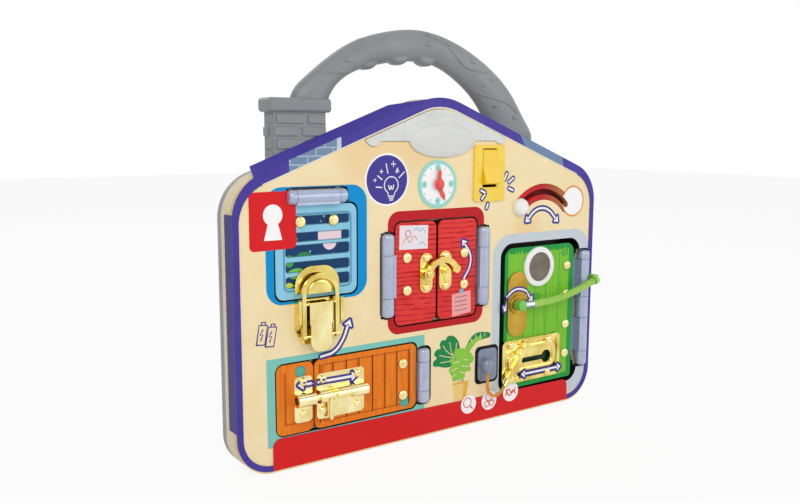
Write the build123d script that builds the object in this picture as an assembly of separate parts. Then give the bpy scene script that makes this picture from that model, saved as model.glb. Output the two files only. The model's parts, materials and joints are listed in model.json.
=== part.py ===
from build123d import *
import math
import os

os.makedirs("parts", exist_ok=True)

# Frame: X across the board, Y backwards from its front plane, Z up from its bottom edge.
# write() moves every piece so that the middle of the board's thickness lies on Y = 0.

# board body
half_width = 164.4
roof_rise = 0.383
roof_peak = 256.75
foot_radius = 25.5
eaves_radius = 31.5
peak_radius = 50.0
panel_depth = 5.0
core_depth = 13.5
back_depth = 6.0
core_front = panel_depth
core_back = core_front + core_depth
board_depth = core_back + back_depth

# card sleeve
card = 0.6
card_half_width = half_width + card
card_peak = roof_peak + 0.65
card_bottom = 1.5
lip_side = 4.5
lip_peak = 249.7
flap_depth = 12.0
flap_low = 32.0
flap_high = 176.0
band_half_width = 139.2
band_left_top = 23.4
band_right_top = 19.6

# openings and doors: left, right, bottom, top
window_door = (-135.0, -72.5, 117.8, 180.4)
left_leaf = (-39.8, -2.9, 88.7, 164.2)
right_leaf = (-1.0, 35.7, 88.7, 164.2)
cabinet_leaf = (-107.1, -20.9, 24.5, 73.8)
cabinet_fixed = (-136.0, -107.9, 24.5, 73.6)
green_leaf = (66.0, 143.1, 21.8, 137.5)
green_gap = (61.3, 150.3, 17.5, 141.6)
door_gap = 1.0
door_corner = 6.0

# hinges
barrel_radius = 5.0
pin_radius = 1.5
pin_play = 0.05
knuckle_gap = 0.3
barrel_room = 0.8
leaf_depth = 1.5
door_start = 5.6
window_axis = 186.0
window_knuckles = (-125.8, -120.1, -87.4, -80.6)
left_axis = -46.5
left_knuckles = (96.1, 110.3, 141.6, 156.9)
right_axis = 42.8
right_knuckles = (95.6, 110.3, 141.5, 157.0)
cabinet_axis = -14.3
cabinet_knuckles = (26.8, 36.6, 59.0, 68.8)
green_axis = 155.3
green_knuckles = (30.0, 42.6, 72.0, 90.4, 122.5, 130.1)

# rivets and screws
rivet_head = 4.0
rivet_height = 2.4
rivet_shank = 1.5
rivet_tail = 2.6
rivet_tail_height = 0.8
screw_head = 2.9
screw_height = 2.0
screw_shank = 1.2
screw_length = 3.2
hole_play = 0.05

window_rivets = ((-116.6, 169.6), (-91.2, 169.6))
left_rivets = ((-29.7, 138.3), (-29.7, 114.2))
right_rivets = ((23.6, 138.0), (23.6, 114.0))
cabinet_rivets = ((-33.1, 59.8), (-33.1, 36.0))
green_rivets = ((134.8, 118.7), (134.8, 94.4), (134.8, 68.6), (134.8, 43.4))


def slab(outline, y_front, y_back):
    plane = Plane(origin=(0, y_back, 0), x_dir=(1, 0, 0), z_dir=(0, -1, 0))
    return extrude(plane * outline, amount=y_back - y_front)


def rounded(points, radii):
    outline = make_face(Polyline(*points, close=True))
    for point, radius in zip(points, radii):
        if radius > 0:
            corner = outline.vertices().sort_by_distance((point[0], point[1], 0))[0]
            outline = fillet(corner, radius)
    return outline


def panel(area, radius, grow=0.0):
    x0, x1, z0, z1 = area
    wide = x1 - x0 + 2 * grow
    high = z1 - z0 + 2 * grow
    return Pos((x0 + x1) / 2, (z0 + z1) / 2) * RectangleRounded(wide, high, radius)


def disc(x, z, radius, y_front, y_back):
    return slab(Pos(x, z) * Circle(radius), y_front, y_back)


def bar_x(x0, x1, y, z, radius):
    return Pos((x0 + x1) / 2, y, z) * Rot(0, 90, 0) * Cylinder(radius, x1 - x0)


def bar_z(x, y, z0, z1, radius):
    return Pos(x, y, (z0 + z1) / 2) * Cylinder(radius, z1 - z0)


def block(x0, x1, y0, y1, z0, z1):
    middle = ((x0 + x1) / 2, (y0 + y1) / 2, (z0 + z1) / 2)
    return Pos(*middle) * Box(x1 - x0, y1 - y0, z1 - z0)


def button(x, z, y_base, radius, height):
    head = disc(x, z, radius, y_base - height, y_base)
    rim = head.faces().sort_by(Axis.Y)[0].edges()
    return fillet(rim, min(height * 0.85, radius * 0.7))


def screw(x, z, y_base, length=screw_length, head=screw_head, height=screw_height):
    shank = disc(x, z, screw_shank, y_base - 0.2, y_base + length)
    return button(x, z, y_base, head, height) + shank


def rivet(x, z):
    tail_front = panel_depth + leaf_depth
    shank = disc(x, z, rivet_shank, -0.2, tail_front + 0.2)
    tail = disc(x, z, rivet_tail, tail_front, tail_front + rivet_tail_height)
    return button(x, z, 0, rivet_head, rivet_height) + shank + tail


def drill(shape, spots, radius, y_front, y_back):
    for x, z in spots:
        shape = shape - disc(x, z, radius, y_front, y_back)
    return shape


def ring_sector(x, z, inner, outer, start, stop):
    middle = (inner + outer) / 2
    wide = (outer - inner) / 2
    path = []
    for angle in (start, (start + stop) / 2, stop):
        turn = math.radians(angle)
        path.append((x + math.cos(turn), z + math.sin(turn)))
    sides = []
    for radius in (inner, outer):
        arc = []
        for px, pz in path:
            arc.append((x + (px - x) * radius, z + (pz - z) * radius))
        sides.append(arc)
    edges = Curve() + ThreePointArc(*sides[0]) + ThreePointArc(*sides[1])
    edges = edges + Line(sides[0][0], sides[1][0]) + Line(sides[0][2], sides[1][2])
    sector = make_face(edges)
    for px, pz in (path[0], path[2]):
        sector = sector + Pos(x + (px - x) * middle, z + (pz - z) * middle) * Circle(wide)
    return sector


written = []


def write(name, *shapes):
    solids = []
    for shape in shapes:
        solids.extend(shape.solids())
    moved = [Pos(0, -board_depth / 2, 0) * solid for solid in solids]
    piece = moved[0] if len(moved) == 1 else Compound(children=moved)
    export_step(piece, "parts/" + name + ".step")
    volume = sum(solid.volume for solid in moved)
    written.append(name)
    print(name, "solids", len(moved), "volume", round(volume, 1))


def gable(half, peak, low, corner, eaves, top):
    side = peak - roof_rise * half
    points = [(-half, low), (half, low), (half, side), (0, peak), (-half, side)]
    return rounded(points, [corner, corner, eaves, top, eaves])


body_outline = gable(half_width, roof_peak, 0, foot_radius, eaves_radius, peak_radius)


def hinge(knuckles, side, leaf_reach, leaf_span, base_reach):
    """Base with its fixed knuckles, pin, and leaf, about an axis on Z, the door towards side."""
    low = knuckles[0]
    high = knuckles[-1]
    base = None
    leaf = None

    def strip(u0, u1, y0, y1, z0, z1):
        return block(min(side * u0, side * u1), max(side * u0, side * u1), y0, y1, z0, z1)

    for index in range(len(knuckles) - 1):
        fixed = index % 2 == 0
        z0 = knuckles[index] + (0 if index == 0 else knuckle_gap / 2)
        z1 = knuckles[index + 1] - (0 if index == len(knuckles) - 2 else knuckle_gap / 2)
        piece = bar_z(0, 0, z0, z1, barrel_radius)
        if index == 0:
            piece = fillet(piece.faces().sort_by(Axis.Z)[0].edges(), 2.8)
        if index == len(knuckles) - 2:
            piece = fillet(piece.faces().sort_by(Axis.Z)[-1].edges(), 2.8)
        if fixed:
            web_low = z0 + (3 if index == 0 else 0)
            web_high = z1 - (3 if index == len(knuckles) - 2 else 0)
            piece = piece + strip(-5.5, 0, 3.5, panel_depth + leaf_depth, web_low, web_high)
            base = piece if base is None else base + piece
        else:
            piece = piece + strip(0, 5.4, -3.4, panel_depth + leaf_depth, z0, z1)
            leaf = piece if leaf is None else leaf + piece
    deep = panel_depth + leaf_depth
    base = base + strip(-base_reach, -5.4, panel_depth, deep, low + 3, high - 3)
    leaf = leaf + strip(5.2, leaf_reach, panel_depth, deep, leaf_span[0], leaf_span[1])
    pin = bar_z(0, 0, low + 3, high - 3, pin_radius)
    base = base - pin
    leaf = leaf - bar_z(0, 0, low, high, pin_radius + pin_play)
    return base, pin, leaf


def on_axis_z(axis_x, shape):
    return Pos(axis_x, 0, 0) * shape


def on_axis_x(axis_z, shape):
    return Pos(0, 0, axis_z) * Rot(0, 90, 0) * shape


hinge_specs = {
    "window": (window_knuckles, 1, 22.0, (-121.5, -86.0), 12.0),
    "left": (left_knuckles, 1, 21.5, (105.0, 147.0), 12.0),
    "right": (right_knuckles, -1, 23.5, (105.0, 147.0), 11.5),
    "cabinet": (cabinet_knuckles, -1, 23.0, (31.0, 64.6), 11.5),
    "green": (green_knuckles, -1, 25.0, (37.0, 125.0), 8.2),
}
hinge_axes = {"left": left_axis, "right": right_axis, "cabinet": cabinet_axis, "green": green_axis}


def place(name, shape):
    if name == "window":
        return on_axis_x(window_axis, shape)
    return on_axis_z(hinge_axes[name], shape)


def barrel_cut(name):
    knuckles, side = hinge_specs[name][:2]
    near = barrel_radius + barrel_room
    u0, u1 = sorted((-side * near, side * (near + 1.6)))
    low = knuckles[0] - barrel_room
    high = knuckles[-1] + barrel_room
    return place(name, block(u0, u1, -1, panel_depth + 0.5, low, high))


def leaf_pocket(name):
    knuckles, side, reach, span, base_reach = hinge_specs[name]
    u0, u1 = sorted((-side * (base_reach + 0.2), side * 9.0))
    low = min(knuckles[0] + 3, span[0]) - 0.3
    high = max(knuckles[-1] - 3, span[1]) + 0.3
    deep = panel_depth + leaf_depth + 0.3
    return place(name, block(u0, u1, panel_depth - 0.5, deep, low, high))


hinges = {}
for name, spec in hinge_specs.items():
    parts = hinge(*spec)
    hinges[name] = [place(name, part) for part in parts]

# the cloud that spreads the lamp light
lens_x = 2.0
lens_z = 222.6
lens_wide = 30.0
lens_high = 12.2
lens_rise = 2.2
cloud_room = 0.3


def cloud(grow=0.0):
    top = lip_peak - 1.2 + grow
    reach = 62.0 + grow
    low = 222.6 - grow
    roof = [(-reach, low), (reach, low), (reach, top - roof_rise * reach), (0, top)]
    roof.append((-reach, top - roof_rise * reach))
    shape = make_face(Polyline(*roof, close=True))
    shape = shape + Pos(-58.5, 226.0) * Circle(7.0 + grow)
    shape = shape + Pos(58.0, 225.6) * Circle(5.4 + grow)
    shape = shape + Pos(lens_x, 255.3) * Circle(44.8 + grow)
    side = top - roof_rise * 80
    under = [(-80, 190), (80, 190), (80, side), (0, top), (-80, side)]
    return shape & rounded(under, [0, 0, 0, peak_radius - 6, 0])


# electronics pocket in the core, under the gable
well_half = 66.0
well_low = 180.0
well_roof = 243.0
well = make_face(Polyline(
    (-well_half, well_low), (well_half, well_low), (well_half, well_roof - roof_rise * well_half),
    (0, well_roof), (-well_half, well_roof - roof_rise * well_half), close=True))

# switch
switch_x = 47.0
switch_z = 202.0
rocker_half_wide = 6.7
rocker_half_high = 13.3
rocker_turn = 9.0
rocker_axis_y = 3.0
switch_hole_wide = 18.8
switch_hole_high = 30.8

# clock
clock_x = -2.4
clock_z = 191.0
clock_radius = 17.6
spindle_radius = 1.2

# arc slider
arc_x = 106.0
arc_z = 147.0
arc_radius = 34.5
arc_start = 137.8
arc_stop = 42.0
arc_track_half = 6.6
arc_track_deep = 0.6
arc_slot_half = 2.3
arc_knob = 7.0
arc_stem = 1.9
arc_foot = 5.4

# handle seats in the roof
tongue_front = 9.0
tongue_back = 17.4
left_tongue = (-124.0, -98.0, 199.0)
right_tongue = (66.0, 92.0, 208.0)
tongue_room = 0.2

# case screws from the back
edge_in = 14.4
corner_in = 6.9
case_spots = ((edge_in - half_width, 30.0), (edge_in - half_width, 178.0),
              (half_width - edge_in, 166.0), (half_width - corner_in, 178.0), (0.0, 9.5),
              (-60.0, 128.0), (51.5, 165.0), (-90.0, 100.0))
case_screw_radius = 1.5
case_head_radius = 3.0

front = slab(body_outline, 0, panel_depth)
front = front - slab(panel(window_door, door_corner + door_gap, door_gap), -1, 6)
both_leaves = (left_leaf[0], right_leaf[1], left_leaf[2], left_leaf[3])
front = front - slab(panel(both_leaves, door_corner + door_gap, door_gap), -1, 6)
whole_cabinet = (cabinet_fixed[0], cabinet_leaf[1], cabinet_leaf[2], cabinet_leaf[3])
front = front - slab(panel(whole_cabinet, door_corner + 0.3, 0.9), -1, 6)
front = front - slab(panel(green_gap, 12.0), -1, 6)
for name in hinge_specs:
    front = front - barrel_cut(name)
front = front - slab(cloud(cloud_room), -1, 6)
front = front - slab(Pos(switch_x, switch_z) * Rectangle(switch_hole_wide, switch_hole_high), -1, 6)
track = ring_sector(arc_x, arc_z, arc_radius - arc_track_half, arc_radius + arc_track_half,
                    arc_start, arc_stop)
slot = ring_sector(arc_x, arc_z, arc_radius - arc_slot_half, arc_radius + arc_slot_half,
                   arc_start, arc_stop)
foot_room = ring_sector(arc_x, arc_z, arc_radius - arc_foot - 0.6, arc_radius + arc_foot + 0.6,
                        arc_start, arc_stop)
front = front - slab(track, -1, arc_track_deep) - slab(slot, -1, 6)
front = front - disc(clock_x, clock_z, spindle_radius + hole_play, -1, 6)
front = drill(front, case_spots, case_screw_radius, 2.0, 6)
latch_x = -104.4
latch_screws = ((latch_x, 107.5), (latch_x, 93.0))
front = drill(front, latch_screws, screw_shank + hole_play, -1, 3.4)

core = slab(body_outline, core_front, core_back)
core_pockets = (
    (-133.6, -74.0, 119.2, 181.6), (-39.4, 35.3, 90.2, 163.0), (-105.0, -22.4, 26.4, 72.0))
for pocket in core_pockets:
    core = core - slab(panel(pocket, 5.0), core_front - 1, core_back + 1)
core = core - slab(panel((green_gap[0], green_gap[1] + 0.2, 14.0, green_gap[3]), 8.0), 4, 20)
for name in hinge_specs:
    core = core - leaf_pocket(name)
core = core - slab(well, core_front - 1, core_back + 1)
core = core - slab(foot_room, core_front - 1, core_front + 3.2)
for x0, x1, z0 in (left_tongue, right_tongue):
    core = core - block(x0 - tongue_room, x1 + tongue_room, tongue_front - tongue_room,
                        tongue_back + tongue_room, z0 - tongue_room, 260)
core = drill(core, case_spots, case_screw_radius, core_front - 1, core_back + 1)

# relief behind the front panel that the lock's cam turns into
lock_x = 78.6
lock_z = 91.4
cam_length = 20.0
cam_half = 4.0
cam_room = 1.4
core = core - block(lock_x - cam_length - cam_room, green_gap[0] + 1, core_front - 1,
                    core_front + 3.2, lock_z - cam_half - cam_room, lock_z + cam_half + 8.2)

# battery box opening and scene sheet recess in the back panel
battery_area = (-60.0, -34.0, 190.0, 208.0)
battery_front = 9.0
battery_wall = 1.4
sheet_area = (-142.0, 158.0, 10.0, 178.0)
sheet_thick = 0.8
back = slab(body_outline, core_back, board_depth)
back = back - slab(panel(sheet_area, 8.0, 0.2), core_back - 1, core_back + sheet_thick)
back = back - slab(panel(battery_area, 2.0, 0.15), core_back - 1, board_depth + 1)
back = drill(back, case_spots, case_screw_radius, core_back - 1, board_depth + 1)
back = drill(back, case_spots, case_head_radius + 0.1, board_depth - 1.6, board_depth + 1)
scene = slab(panel(sheet_area, 8.0), core_back, core_back + sheet_thick)
scene = drill(scene, case_spots, case_screw_radius + 0.2, core_back - 1, board_depth)

write("front_panel", front)
# the core is glued up from strips, one between each pair of openings
w0, w1, wlow, whigh = core_pockets[0]
l0, l1, llow, lhigh = core_pockets[1]
c0, c1, clow, chigh = core_pockets[2]
g0, g1, glow, ghigh = green_gap[0], green_gap[1] + 0.2, 14.0, green_gap[3]
far = 2 * half_width
core_strips = (
    (-far, w0, -far, far), (g1, far, -far, far), (w0, g0, -far, clow),
    (w0, c0, clow, chigh), (c1, g0, clow, chigh), (w0, g0, chigh, llow),
    (w0, l0, llow, wlow), (l1, g0, llow, lhigh), (w1, l0, wlow, lhigh),
    (w1, g0, lhigh, whigh), (w0, 0, whigh, far), (0, g0, whigh, far),
    (g0, g1, -far, glow), (g0, g1, ghigh, far))
strips = [core & block(x0, x1, core_front - 1, core_back + 1, z0, z1)
          for x0, x1, z0, z1 in core_strips]
write("wood_core", *strips)
write("back_panel", back)
write("scene_board", scene)

# card sleeve: lip, band, side and roof flaps
outer = gable(card_half_width, card_peak, card_bottom, foot_radius + card, eaves_radius + card,
              peak_radius)
inner_half = card_half_width - lip_side
inner = gable(inner_half, lip_peak, -30, foot_radius - 4, eaves_radius - 4, peak_radius - 6)
lip = outer - inner
band = rounded(
    [(-band_half_width, card_bottom), (band_half_width, card_bottom),
     (band_half_width, band_right_top), (-band_half_width, band_left_top)], [0, 0, 6, 6])
feet = outer & (Pos(0, 14) * Rectangle(2 * card_half_width + 2, 28))
foot_inner = gable(inner_half, lip_peak, card_bottom + 4.0, foot_radius - 4, eaves_radius - 4, 46)
feet = feet - foot_inner
sleeve = slab(lip + feet + (band & outer), -card, 0)
edge_outer = gable(card_half_width, card_peak, -card, foot_radius + card, eaves_radius + card,
                   peak_radius)
edge = slab(edge_outer, -card, flap_depth) - slab(body_outline, -card - 1, flap_depth + 1)
for sign in (-1, 1):
    x0, x1 = sorted((sign * (half_width - 2), sign * (half_width + 2)))
    sleeve = sleeve + (edge & block(x0, x1, -card, flap_depth, flap_low, flap_high))
right_flap = edge & block(12, 147, -card, 6.6, 190, 270)
sleeve = sleeve + right_flap
slope = math.atan(roof_rise)
tilt = math.radians(38)
along = (math.cos(slope), 0, math.sin(slope))
upward = (-math.sin(slope), 0, math.cos(slope))
outward = (upward[0] * math.sin(tilt), math.cos(tilt), upward[2] * math.sin(tilt))
normal = (
    along[1] * outward[2] - along[2] * outward[1],
    along[2] * outward[0] - along[0] * outward[2],
    along[0] * outward[1] - along[1] * outward[0])
flap_plane = Plane(origin=(0, -card / 2, card_peak - 0.35), x_dir=along, z_dir=normal)
flap_outline = make_face(Polyline((-160, 0), (-14, 0), (-42, 9.6), (-157, 9.6), close=True))
left_flap = extrude(flap_plane * flap_outline, amount=card / 2, both=True)
sleeve = sleeve + left_flap
write("card_sleeve", sleeve)

# roof handle: chimney, cap, arched grip and right foot, in two halves
handle_y = 15.4
handle_half = 8.3
handle_split = 15.1
chimney = (-131.0, -91.0, 8.2, 22.2)
chimney_top = 241.6
cap_over = 3.4
cap_top = 251.0
cap_depth = (5.7, 24.4)
arch_sections = (
    ((-86.8, 246.0), (-115.2, 246.0)), ((-82.0, 258.0), (-104.6, 264.2)),
    ((-70.6, 267.6), (-87.8, 277.4)), ((-56.0, 273.4), (-67.0, 290.2)),
    ((-37.0, 277.6), (-41.2, 298.6)), ((-5.0, 279.4), (-5.0, 302.0)),
    ((15.0, 273.8), (23.1, 295.6)), ((30.0, 265.0), (44.4, 286.2)),
    ((42.6, 254.6), (66.0, 272.6)), ((50.4, 245.4), (82.0, 257.6)),
    ((55.0, 237.4), (95.4, 239.6)), ((57.6, 227.0), (103.6, 216.0)))
lobe_radius = 11.0
lobe_round = 4.0
handle_top = 320.0
handle_low = 150.0
handle_side = 170.0
lobes = ((-29.0, 287.4), (-4.0, 287.6), (-56.0, 283.0))
handle_screws = ((-111.0, 246.3), (-5.0, 291.0), (78.0, 236.0))

sections = []
for near, far in arch_sections:
    dx = far[0] - near[0]
    dz = far[1] - near[1]
    span = math.hypot(dx, dz)
    middle = ((near[0] + far[0]) / 2, handle_y, (near[1] + far[1]) / 2)
    plane = Plane(origin=middle, x_dir=(dx / span, 0, dz / span), z_dir=(dz / span, 0, -dx / span))
    sections.append(plane * Ellipse(span / 2, handle_half))
arch = loft(sections)
for x, z in lobes:
    lobe = disc(x, z, lobe_radius, handle_y - handle_half * 0.72, handle_y + handle_half * 0.72)
    lobe = fillet(lobe.edges().filter_by(GeomType.CIRCLE), lobe_round)
    arch = arch + lobe
x0, x1, y0, y1 = chimney
stack = block(x0, x1, y0, y1, 190, chimney_top + 1)
stack = fillet(stack.edges().filter_by(Axis.Z), 1.5)
cap_piece = block(x0 - cap_over, x1 + cap_over, cap_depth[0], cap_depth[1], chimney_top, cap_top)
cap_piece = fillet(cap_piece.edges(), 2.4)
handle = arch + stack + cap_piece
handle = handle - slab(body_outline, -1, board_depth + 1)
for x0, x1, z0 in (left_tongue, right_tongue):
    top = 226.0 if x0 < 0 else 233.0
    handle = handle + block(x0, x1, tongue_front, tongue_back, z0, top)
handle_front = handle & block(-handle_side, handle_side, -5, handle_split, handle_low, handle_top)
handle_back = handle & block(-handle_side, handle_side, handle_split, 40, handle_low, handle_top)
handle_front = drill(handle_front, handle_screws, case_screw_radius, handle_split - 4.5, 40)
handle_back = drill(handle_back, handle_screws, case_screw_radius, 0, 40)
handle_back = drill(handle_back, handle_screws, case_head_radius + 0.1, handle_split + 4, 40)
write("handle_front", handle_front)
write("handle_back", handle_back)

# lamp: diffuser, board with three lamps, lead, battery box
diffuser = slab(cloud(0), -1.0, panel_depth)
flange = cloud(2.2) & offset(well, -0.4, kind=Kind.INTERSECTION)
diffuser = diffuser + slab(flange, panel_depth, panel_depth + 1.2)
lens = Pos(lens_x, -0.9, lens_z) * scale(Sphere(1.0), by=(lens_wide, lens_rise, lens_high))
lens = lens & block(-80, 80, -6, 0, 190, 260)
diffuser = diffuser + lens
hollow = offset(cloud(0), -1.8, kind=Kind.INTERSECTION)
diffuser = diffuser - slab(hollow, 0.8, panel_depth + 2)
write("lamp_diffuser", diffuser)

lamp_spots = ((-14.0, 224.0), (3.0, 224.0), (20.0, 224.0))
lamp_board_front = 9.0
lamp_board_back = 10.4
standoffs = ((-26.0, 216.0), (32.0, 216.0))
lead_radius = 0.7
lead_points = [(-34.0, 13.0, 200.0), (-18.0, 13.0, 200.0), (-6.0, 13.0, 205.0), (-6.0, 13.0, 214.0)]
board = block(-30, 36, lamp_board_front, lamp_board_back, 213, 228.4)
lamps = [button(x, z, lamp_board_front, 2.5, 2.2) for x, z in lamp_spots]
posts = [disc(x, z, 2.5, lamp_board_back, core_back) for x, z in standoffs]
plug = block(-9, -3, lamp_board_back, 15.4, 214, 218.5)
write("lamp_board", board, *lamps, *posts, plug)

x0, x1, z0, z1 = battery_area
box = slab(panel(battery_area, 2.0), battery_front, board_depth)
inside = (x0 + battery_wall, x1 - battery_wall, z0 + battery_wall, z1 - battery_wall)
cover_front = board_depth - 1.6
box = box - slab(panel(inside, 1.0), battery_front + battery_wall, board_depth + 1)
for bx0, bx1 in ((inside[0], inside[0] + 2.6), (inside[1] - 2.6, inside[1])):
    box = box + block(bx0, bx1, battery_front + battery_wall, cover_front, inside[2], inside[3])
cover_screw = (inside[0] + 1.3, (z0 + z1) / 2)
box = drill(box, (cover_screw,), 0.6, 16, board_depth)
cover = slab(panel(inside, 1.0, -0.15), cover_front, board_depth)
cover = drill(cover, (cover_screw,), 0.65, 0, 40)
contact_deep = (battery_front + battery_wall, cover_front - 2)
contact_a = block(inside[0] + 2.6, inside[0] + 2.9, *contact_deep, z0 + 4, z1 - 4)
contact_b = block(inside[1] - 2.9, inside[1] - 2.6, *contact_deep, z0 + 4, z1 - 4)
write("battery_box", box)
write("battery_contacts", contact_a, contact_b)
write("battery_cover", cover)


def cord(points, radius, name):
    radii = []
    for index in range(1, len(points) - 1):
        before = Vector(*points[index]) - Vector(*points[index - 1])
        after = Vector(*points[index + 1]) - Vector(*points[index])
        turn = math.radians(before.get_angle(after))
        radii.append(0.45 * min(before.length, after.length) / math.tan(turn / 2))
    route = FilletPolyline(*points, radius=radii)
    start = Vector(*points[1]) - Vector(*points[0])
    profile = Plane(origin=points[0], z_dir=start.normalized()) * Circle(radius)
    solid = sweep(profile, path=route)
    print(name, "radii", [round(value, 1) for value in radii], "length", round(route.length, 1),
          "volume ratio", round(solid.volume / (math.pi * radius ** 2 * route.length), 4))
    return solid


write("lamp_lead", cord(lead_points, lead_radius, "lamp_lead"))

# switch plate and rocker
switch_area = (31.8, 62.2, 176.4, 219.4)
switch_thick = 1.5
plate = slab(panel(switch_area, 3.0), -switch_thick, 0)
opening = Pos(switch_x, switch_z) * Rectangle(2 * rocker_half_wide + 0.8, 29.6)
plate = plate - slab(opening, -3, 1)
for sign in (-1, 1):
    near = switch_x + sign * (rocker_half_wide + 0.35)
    far = switch_x + sign * (rocker_half_wide + 1.85)
    ear = block(min(near, far), max(near, far), -1.2, 6.0, switch_z - 4, switch_z + 4)
    plate = plate + ear
axis_reach = rocker_half_wide + 1.6
plate = plate - bar_x(switch_x - 12, switch_x + 12, rocker_axis_y, switch_z, spindle_radius + hole_play)
rise = rocker_half_high * math.tan(math.radians(rocker_turn))
profile = make_face(Polyline(
    (-4.8, 0), (-4.8 - rise, rocker_half_high), (1.5, rocker_half_high), (3.5, 8), (3.5, -8),
    (1.5, -rocker_half_high), (-4.8 - rise, -rocker_half_high), close=True))
side_plane = Plane(origin=(-rocker_half_wide, 0, 0), x_dir=(0, 1, 0), z_dir=(1, 0, 0))
rocker = extrude(side_plane * profile, amount=2 * rocker_half_wide)
rocker = fillet(rocker.edges().filter_by(Axis.X).sort_by(Axis.Y)[:2], 1.2)
rocker = rocker + bar_x(-axis_reach, axis_reach, 0, 0, spindle_radius)
rocker = Pos(switch_x, rocker_axis_y, switch_z) * Rot(-rocker_turn, 0, 0) * rocker
write("switch_plate", plate)
write("rocker", rocker)


# clock
def hand(x, z, y_front, y_back, half):
    dx = x - clock_x
    dz = z - clock_z
    span = math.hypot(dx, dz)
    sx = dz / span * half
    sz = -dx / span * half
    mx = clock_x + dx * 0.72
    mz = clock_z + dz * 0.72
    shape = make_face(Polyline(
        (clock_x + sx * 0.6, clock_z + sz * 0.6), (mx + sx, mz + sz), (x, z), (mx - sx, mz - sz),
        (clock_x - sx * 0.6, clock_z - sz * 0.6), close=True))
    shape = shape + Pos(clock_x, clock_z) * Circle(2.6)
    shape = shape - Pos(clock_x, clock_z) * Circle(spindle_radius + hole_play)
    return slab(shape, y_front, y_back)


face = disc(clock_x, clock_z, clock_radius, -0.8, 0)
face = face + disc(clock_x, clock_z, spindle_radius, -3.6, panel_depth + 2.0)
face = face + disc(clock_x, clock_z, 2.0, -4.4, -3.4)
nut = disc(clock_x, clock_z, 3.4, panel_depth, panel_depth + 1.8)
nut = nut - disc(clock_x, clock_z, spindle_radius, 0, 20)
write("clock_face", face, nut)
write("hour_hand", hand(3.8, 178.9, -1.9, -1.1, 1.7))
write("minute_hand", hand(-1.8, 202.6, -3.1, -2.3, 1.5))

# arc slider
turn = math.radians(arc_start)
knob_x = arc_x + arc_radius * math.cos(turn)
knob_z = arc_z + arc_radius * math.sin(turn)
knob = button(knob_x, knob_z, -0.3, arc_knob, 5.4)
knob = knob + disc(knob_x, knob_z, arc_stem, -0.6, 5.6)
knob = knob + disc(knob_x, knob_z, arc_foot, 5.4, 6.8)
write("slider_knob", knob)

# hinges: bases and pins on the board, leaves on the doors
write("hinge_bases", *[hinges[name][0] for name in hinge_specs])
write("hinge_pins", *[hinges[name][1] for name in hinge_specs])
write("window_hinge_leaf", drill(hinges["window"][2], window_rivets, rivet_shank + hole_play, 0, 20))
write("left_hinge_leaf", drill(hinges["left"][2], left_rivets, rivet_shank + hole_play, 0, 20))
write("right_hinge_leaf", drill(hinges["right"][2], right_rivets, rivet_shank + hole_play, 0, 20))
write("cabinet_hinge_leaf",
      drill(hinges["cabinet"][2], cabinet_rivets, rivet_shank + hole_play, 0, 20))
write("green_hinge_leaf", drill(hinges["green"][2], green_rivets, rivet_shank + hole_play, 0, 20))


def door(area, radius, rivets, screws=()):
    leaf = slab(panel(area, radius), 0, panel_depth)
    leaf = drill(leaf, rivets, rivet_shank + hole_play, -1, 6)
    return drill(leaf, screws, screw_shank + hole_play, -1, 4.0)


# window flap with its five slats
slat_x = (-127.6, -78.4)
slat_z = ((167.2, 173.5), (156.1, 162.4), (146.3, 154.0), (135.8, 142.8), (125.2, 133.0))
slat_deep = 0.7
peg_radius = 1.2
catch_pegs = ((latch_x - 12.0, 128.0), (latch_x + 12.0, 128.0))
flap = door(window_door, door_corner, window_rivets)
for z0, z1 in slat_z:
    flap = flap - slab(panel((slat_x[0], slat_x[1], z0, z1), 2.0), -1, slat_deep)
flap = drill(flap, catch_pegs, peg_radius + hole_play, -1, 3.2)
write("window_flap", flap)
write("window_rivets", *[rivet(x, z) for x, z in window_rivets])

# draw latch: catch on the flap, base on the board, lever and loop between them
plate_thick = 1.2
catch_half = 17.0
catch_low = 121.2
catch_top = 139.3
dome_radius = 10.0
dome_front = -5.6
loop_inner = 11.2
loop_outer = 14.2
loop_centre = 120.3
loop_y = (-6.0, -4.0)
lever_axis = (-2.6, 113.4)
lever_pin = 0.9
loop_axis = (-5.0, 92.0)
loop_pin = 1.0
loop_eye = 2.0
lever_half = 8.85
cheek = 1.2
rail_inner = 14.9
rail_outer = 17.3
base_thick = 0.8
base_low = 85.9
base_top = 116.9
catch = slab(rounded(
    [(latch_x - catch_half, catch_low), (latch_x + catch_half, catch_low),
     (latch_x + catch_half, catch_top), (latch_x - catch_half, catch_top)], [1, 1, 13, 13]),
    -plate_thick, 0)
half_disc = Pos(latch_x, catch_low) * Circle(dome_radius)
half_disc = half_disc & (Pos(latch_x, catch_low + 10) * Rectangle(40, 20))
dome = slab(half_disc, dome_front, -plate_thick + 0.1)
dome = fillet(dome.faces().sort_by(Axis.Y)[0].edges().filter_by(GeomType.CIRCLE), 2.4)
catch = catch + dome
for x, z in catch_pegs:
    catch = catch + disc(x, z, peg_radius, -0.2, 3.0)
write("latch_catch", catch)

base = slab(rounded(
    [(latch_x - 12.5, base_low), (latch_x + 12.5, base_low), (latch_x + rail_outer, 97.0),
     (latch_x + rail_outer, base_top), (latch_x - rail_outer, base_top),
     (latch_x - rail_outer, 97.0)], [4, 4, 6, 0, 0, 6]), -base_thick, 0)
rail_side = make_face(Polyline(
    (0, 97.0), (0, base_top), (-6.6, base_top), (-6.6, 101.0), (-2.0, 97.0), close=True))
for x0 in (latch_x - rail_outer, latch_x + rail_inner):
    plane = Plane(origin=(x0, 0, 0), x_dir=(0, 1, 0), z_dir=(1, 0, 0))
    base = base + extrude(plane * rail_side, amount=rail_outer - rail_inner)
base = base - bar_x(latch_x - 20, latch_x + 20, *lever_axis, lever_pin + hole_play)
base = drill(base, latch_screws, screw_shank + hole_play, -3, 1)
write("latch_base", base)

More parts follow.
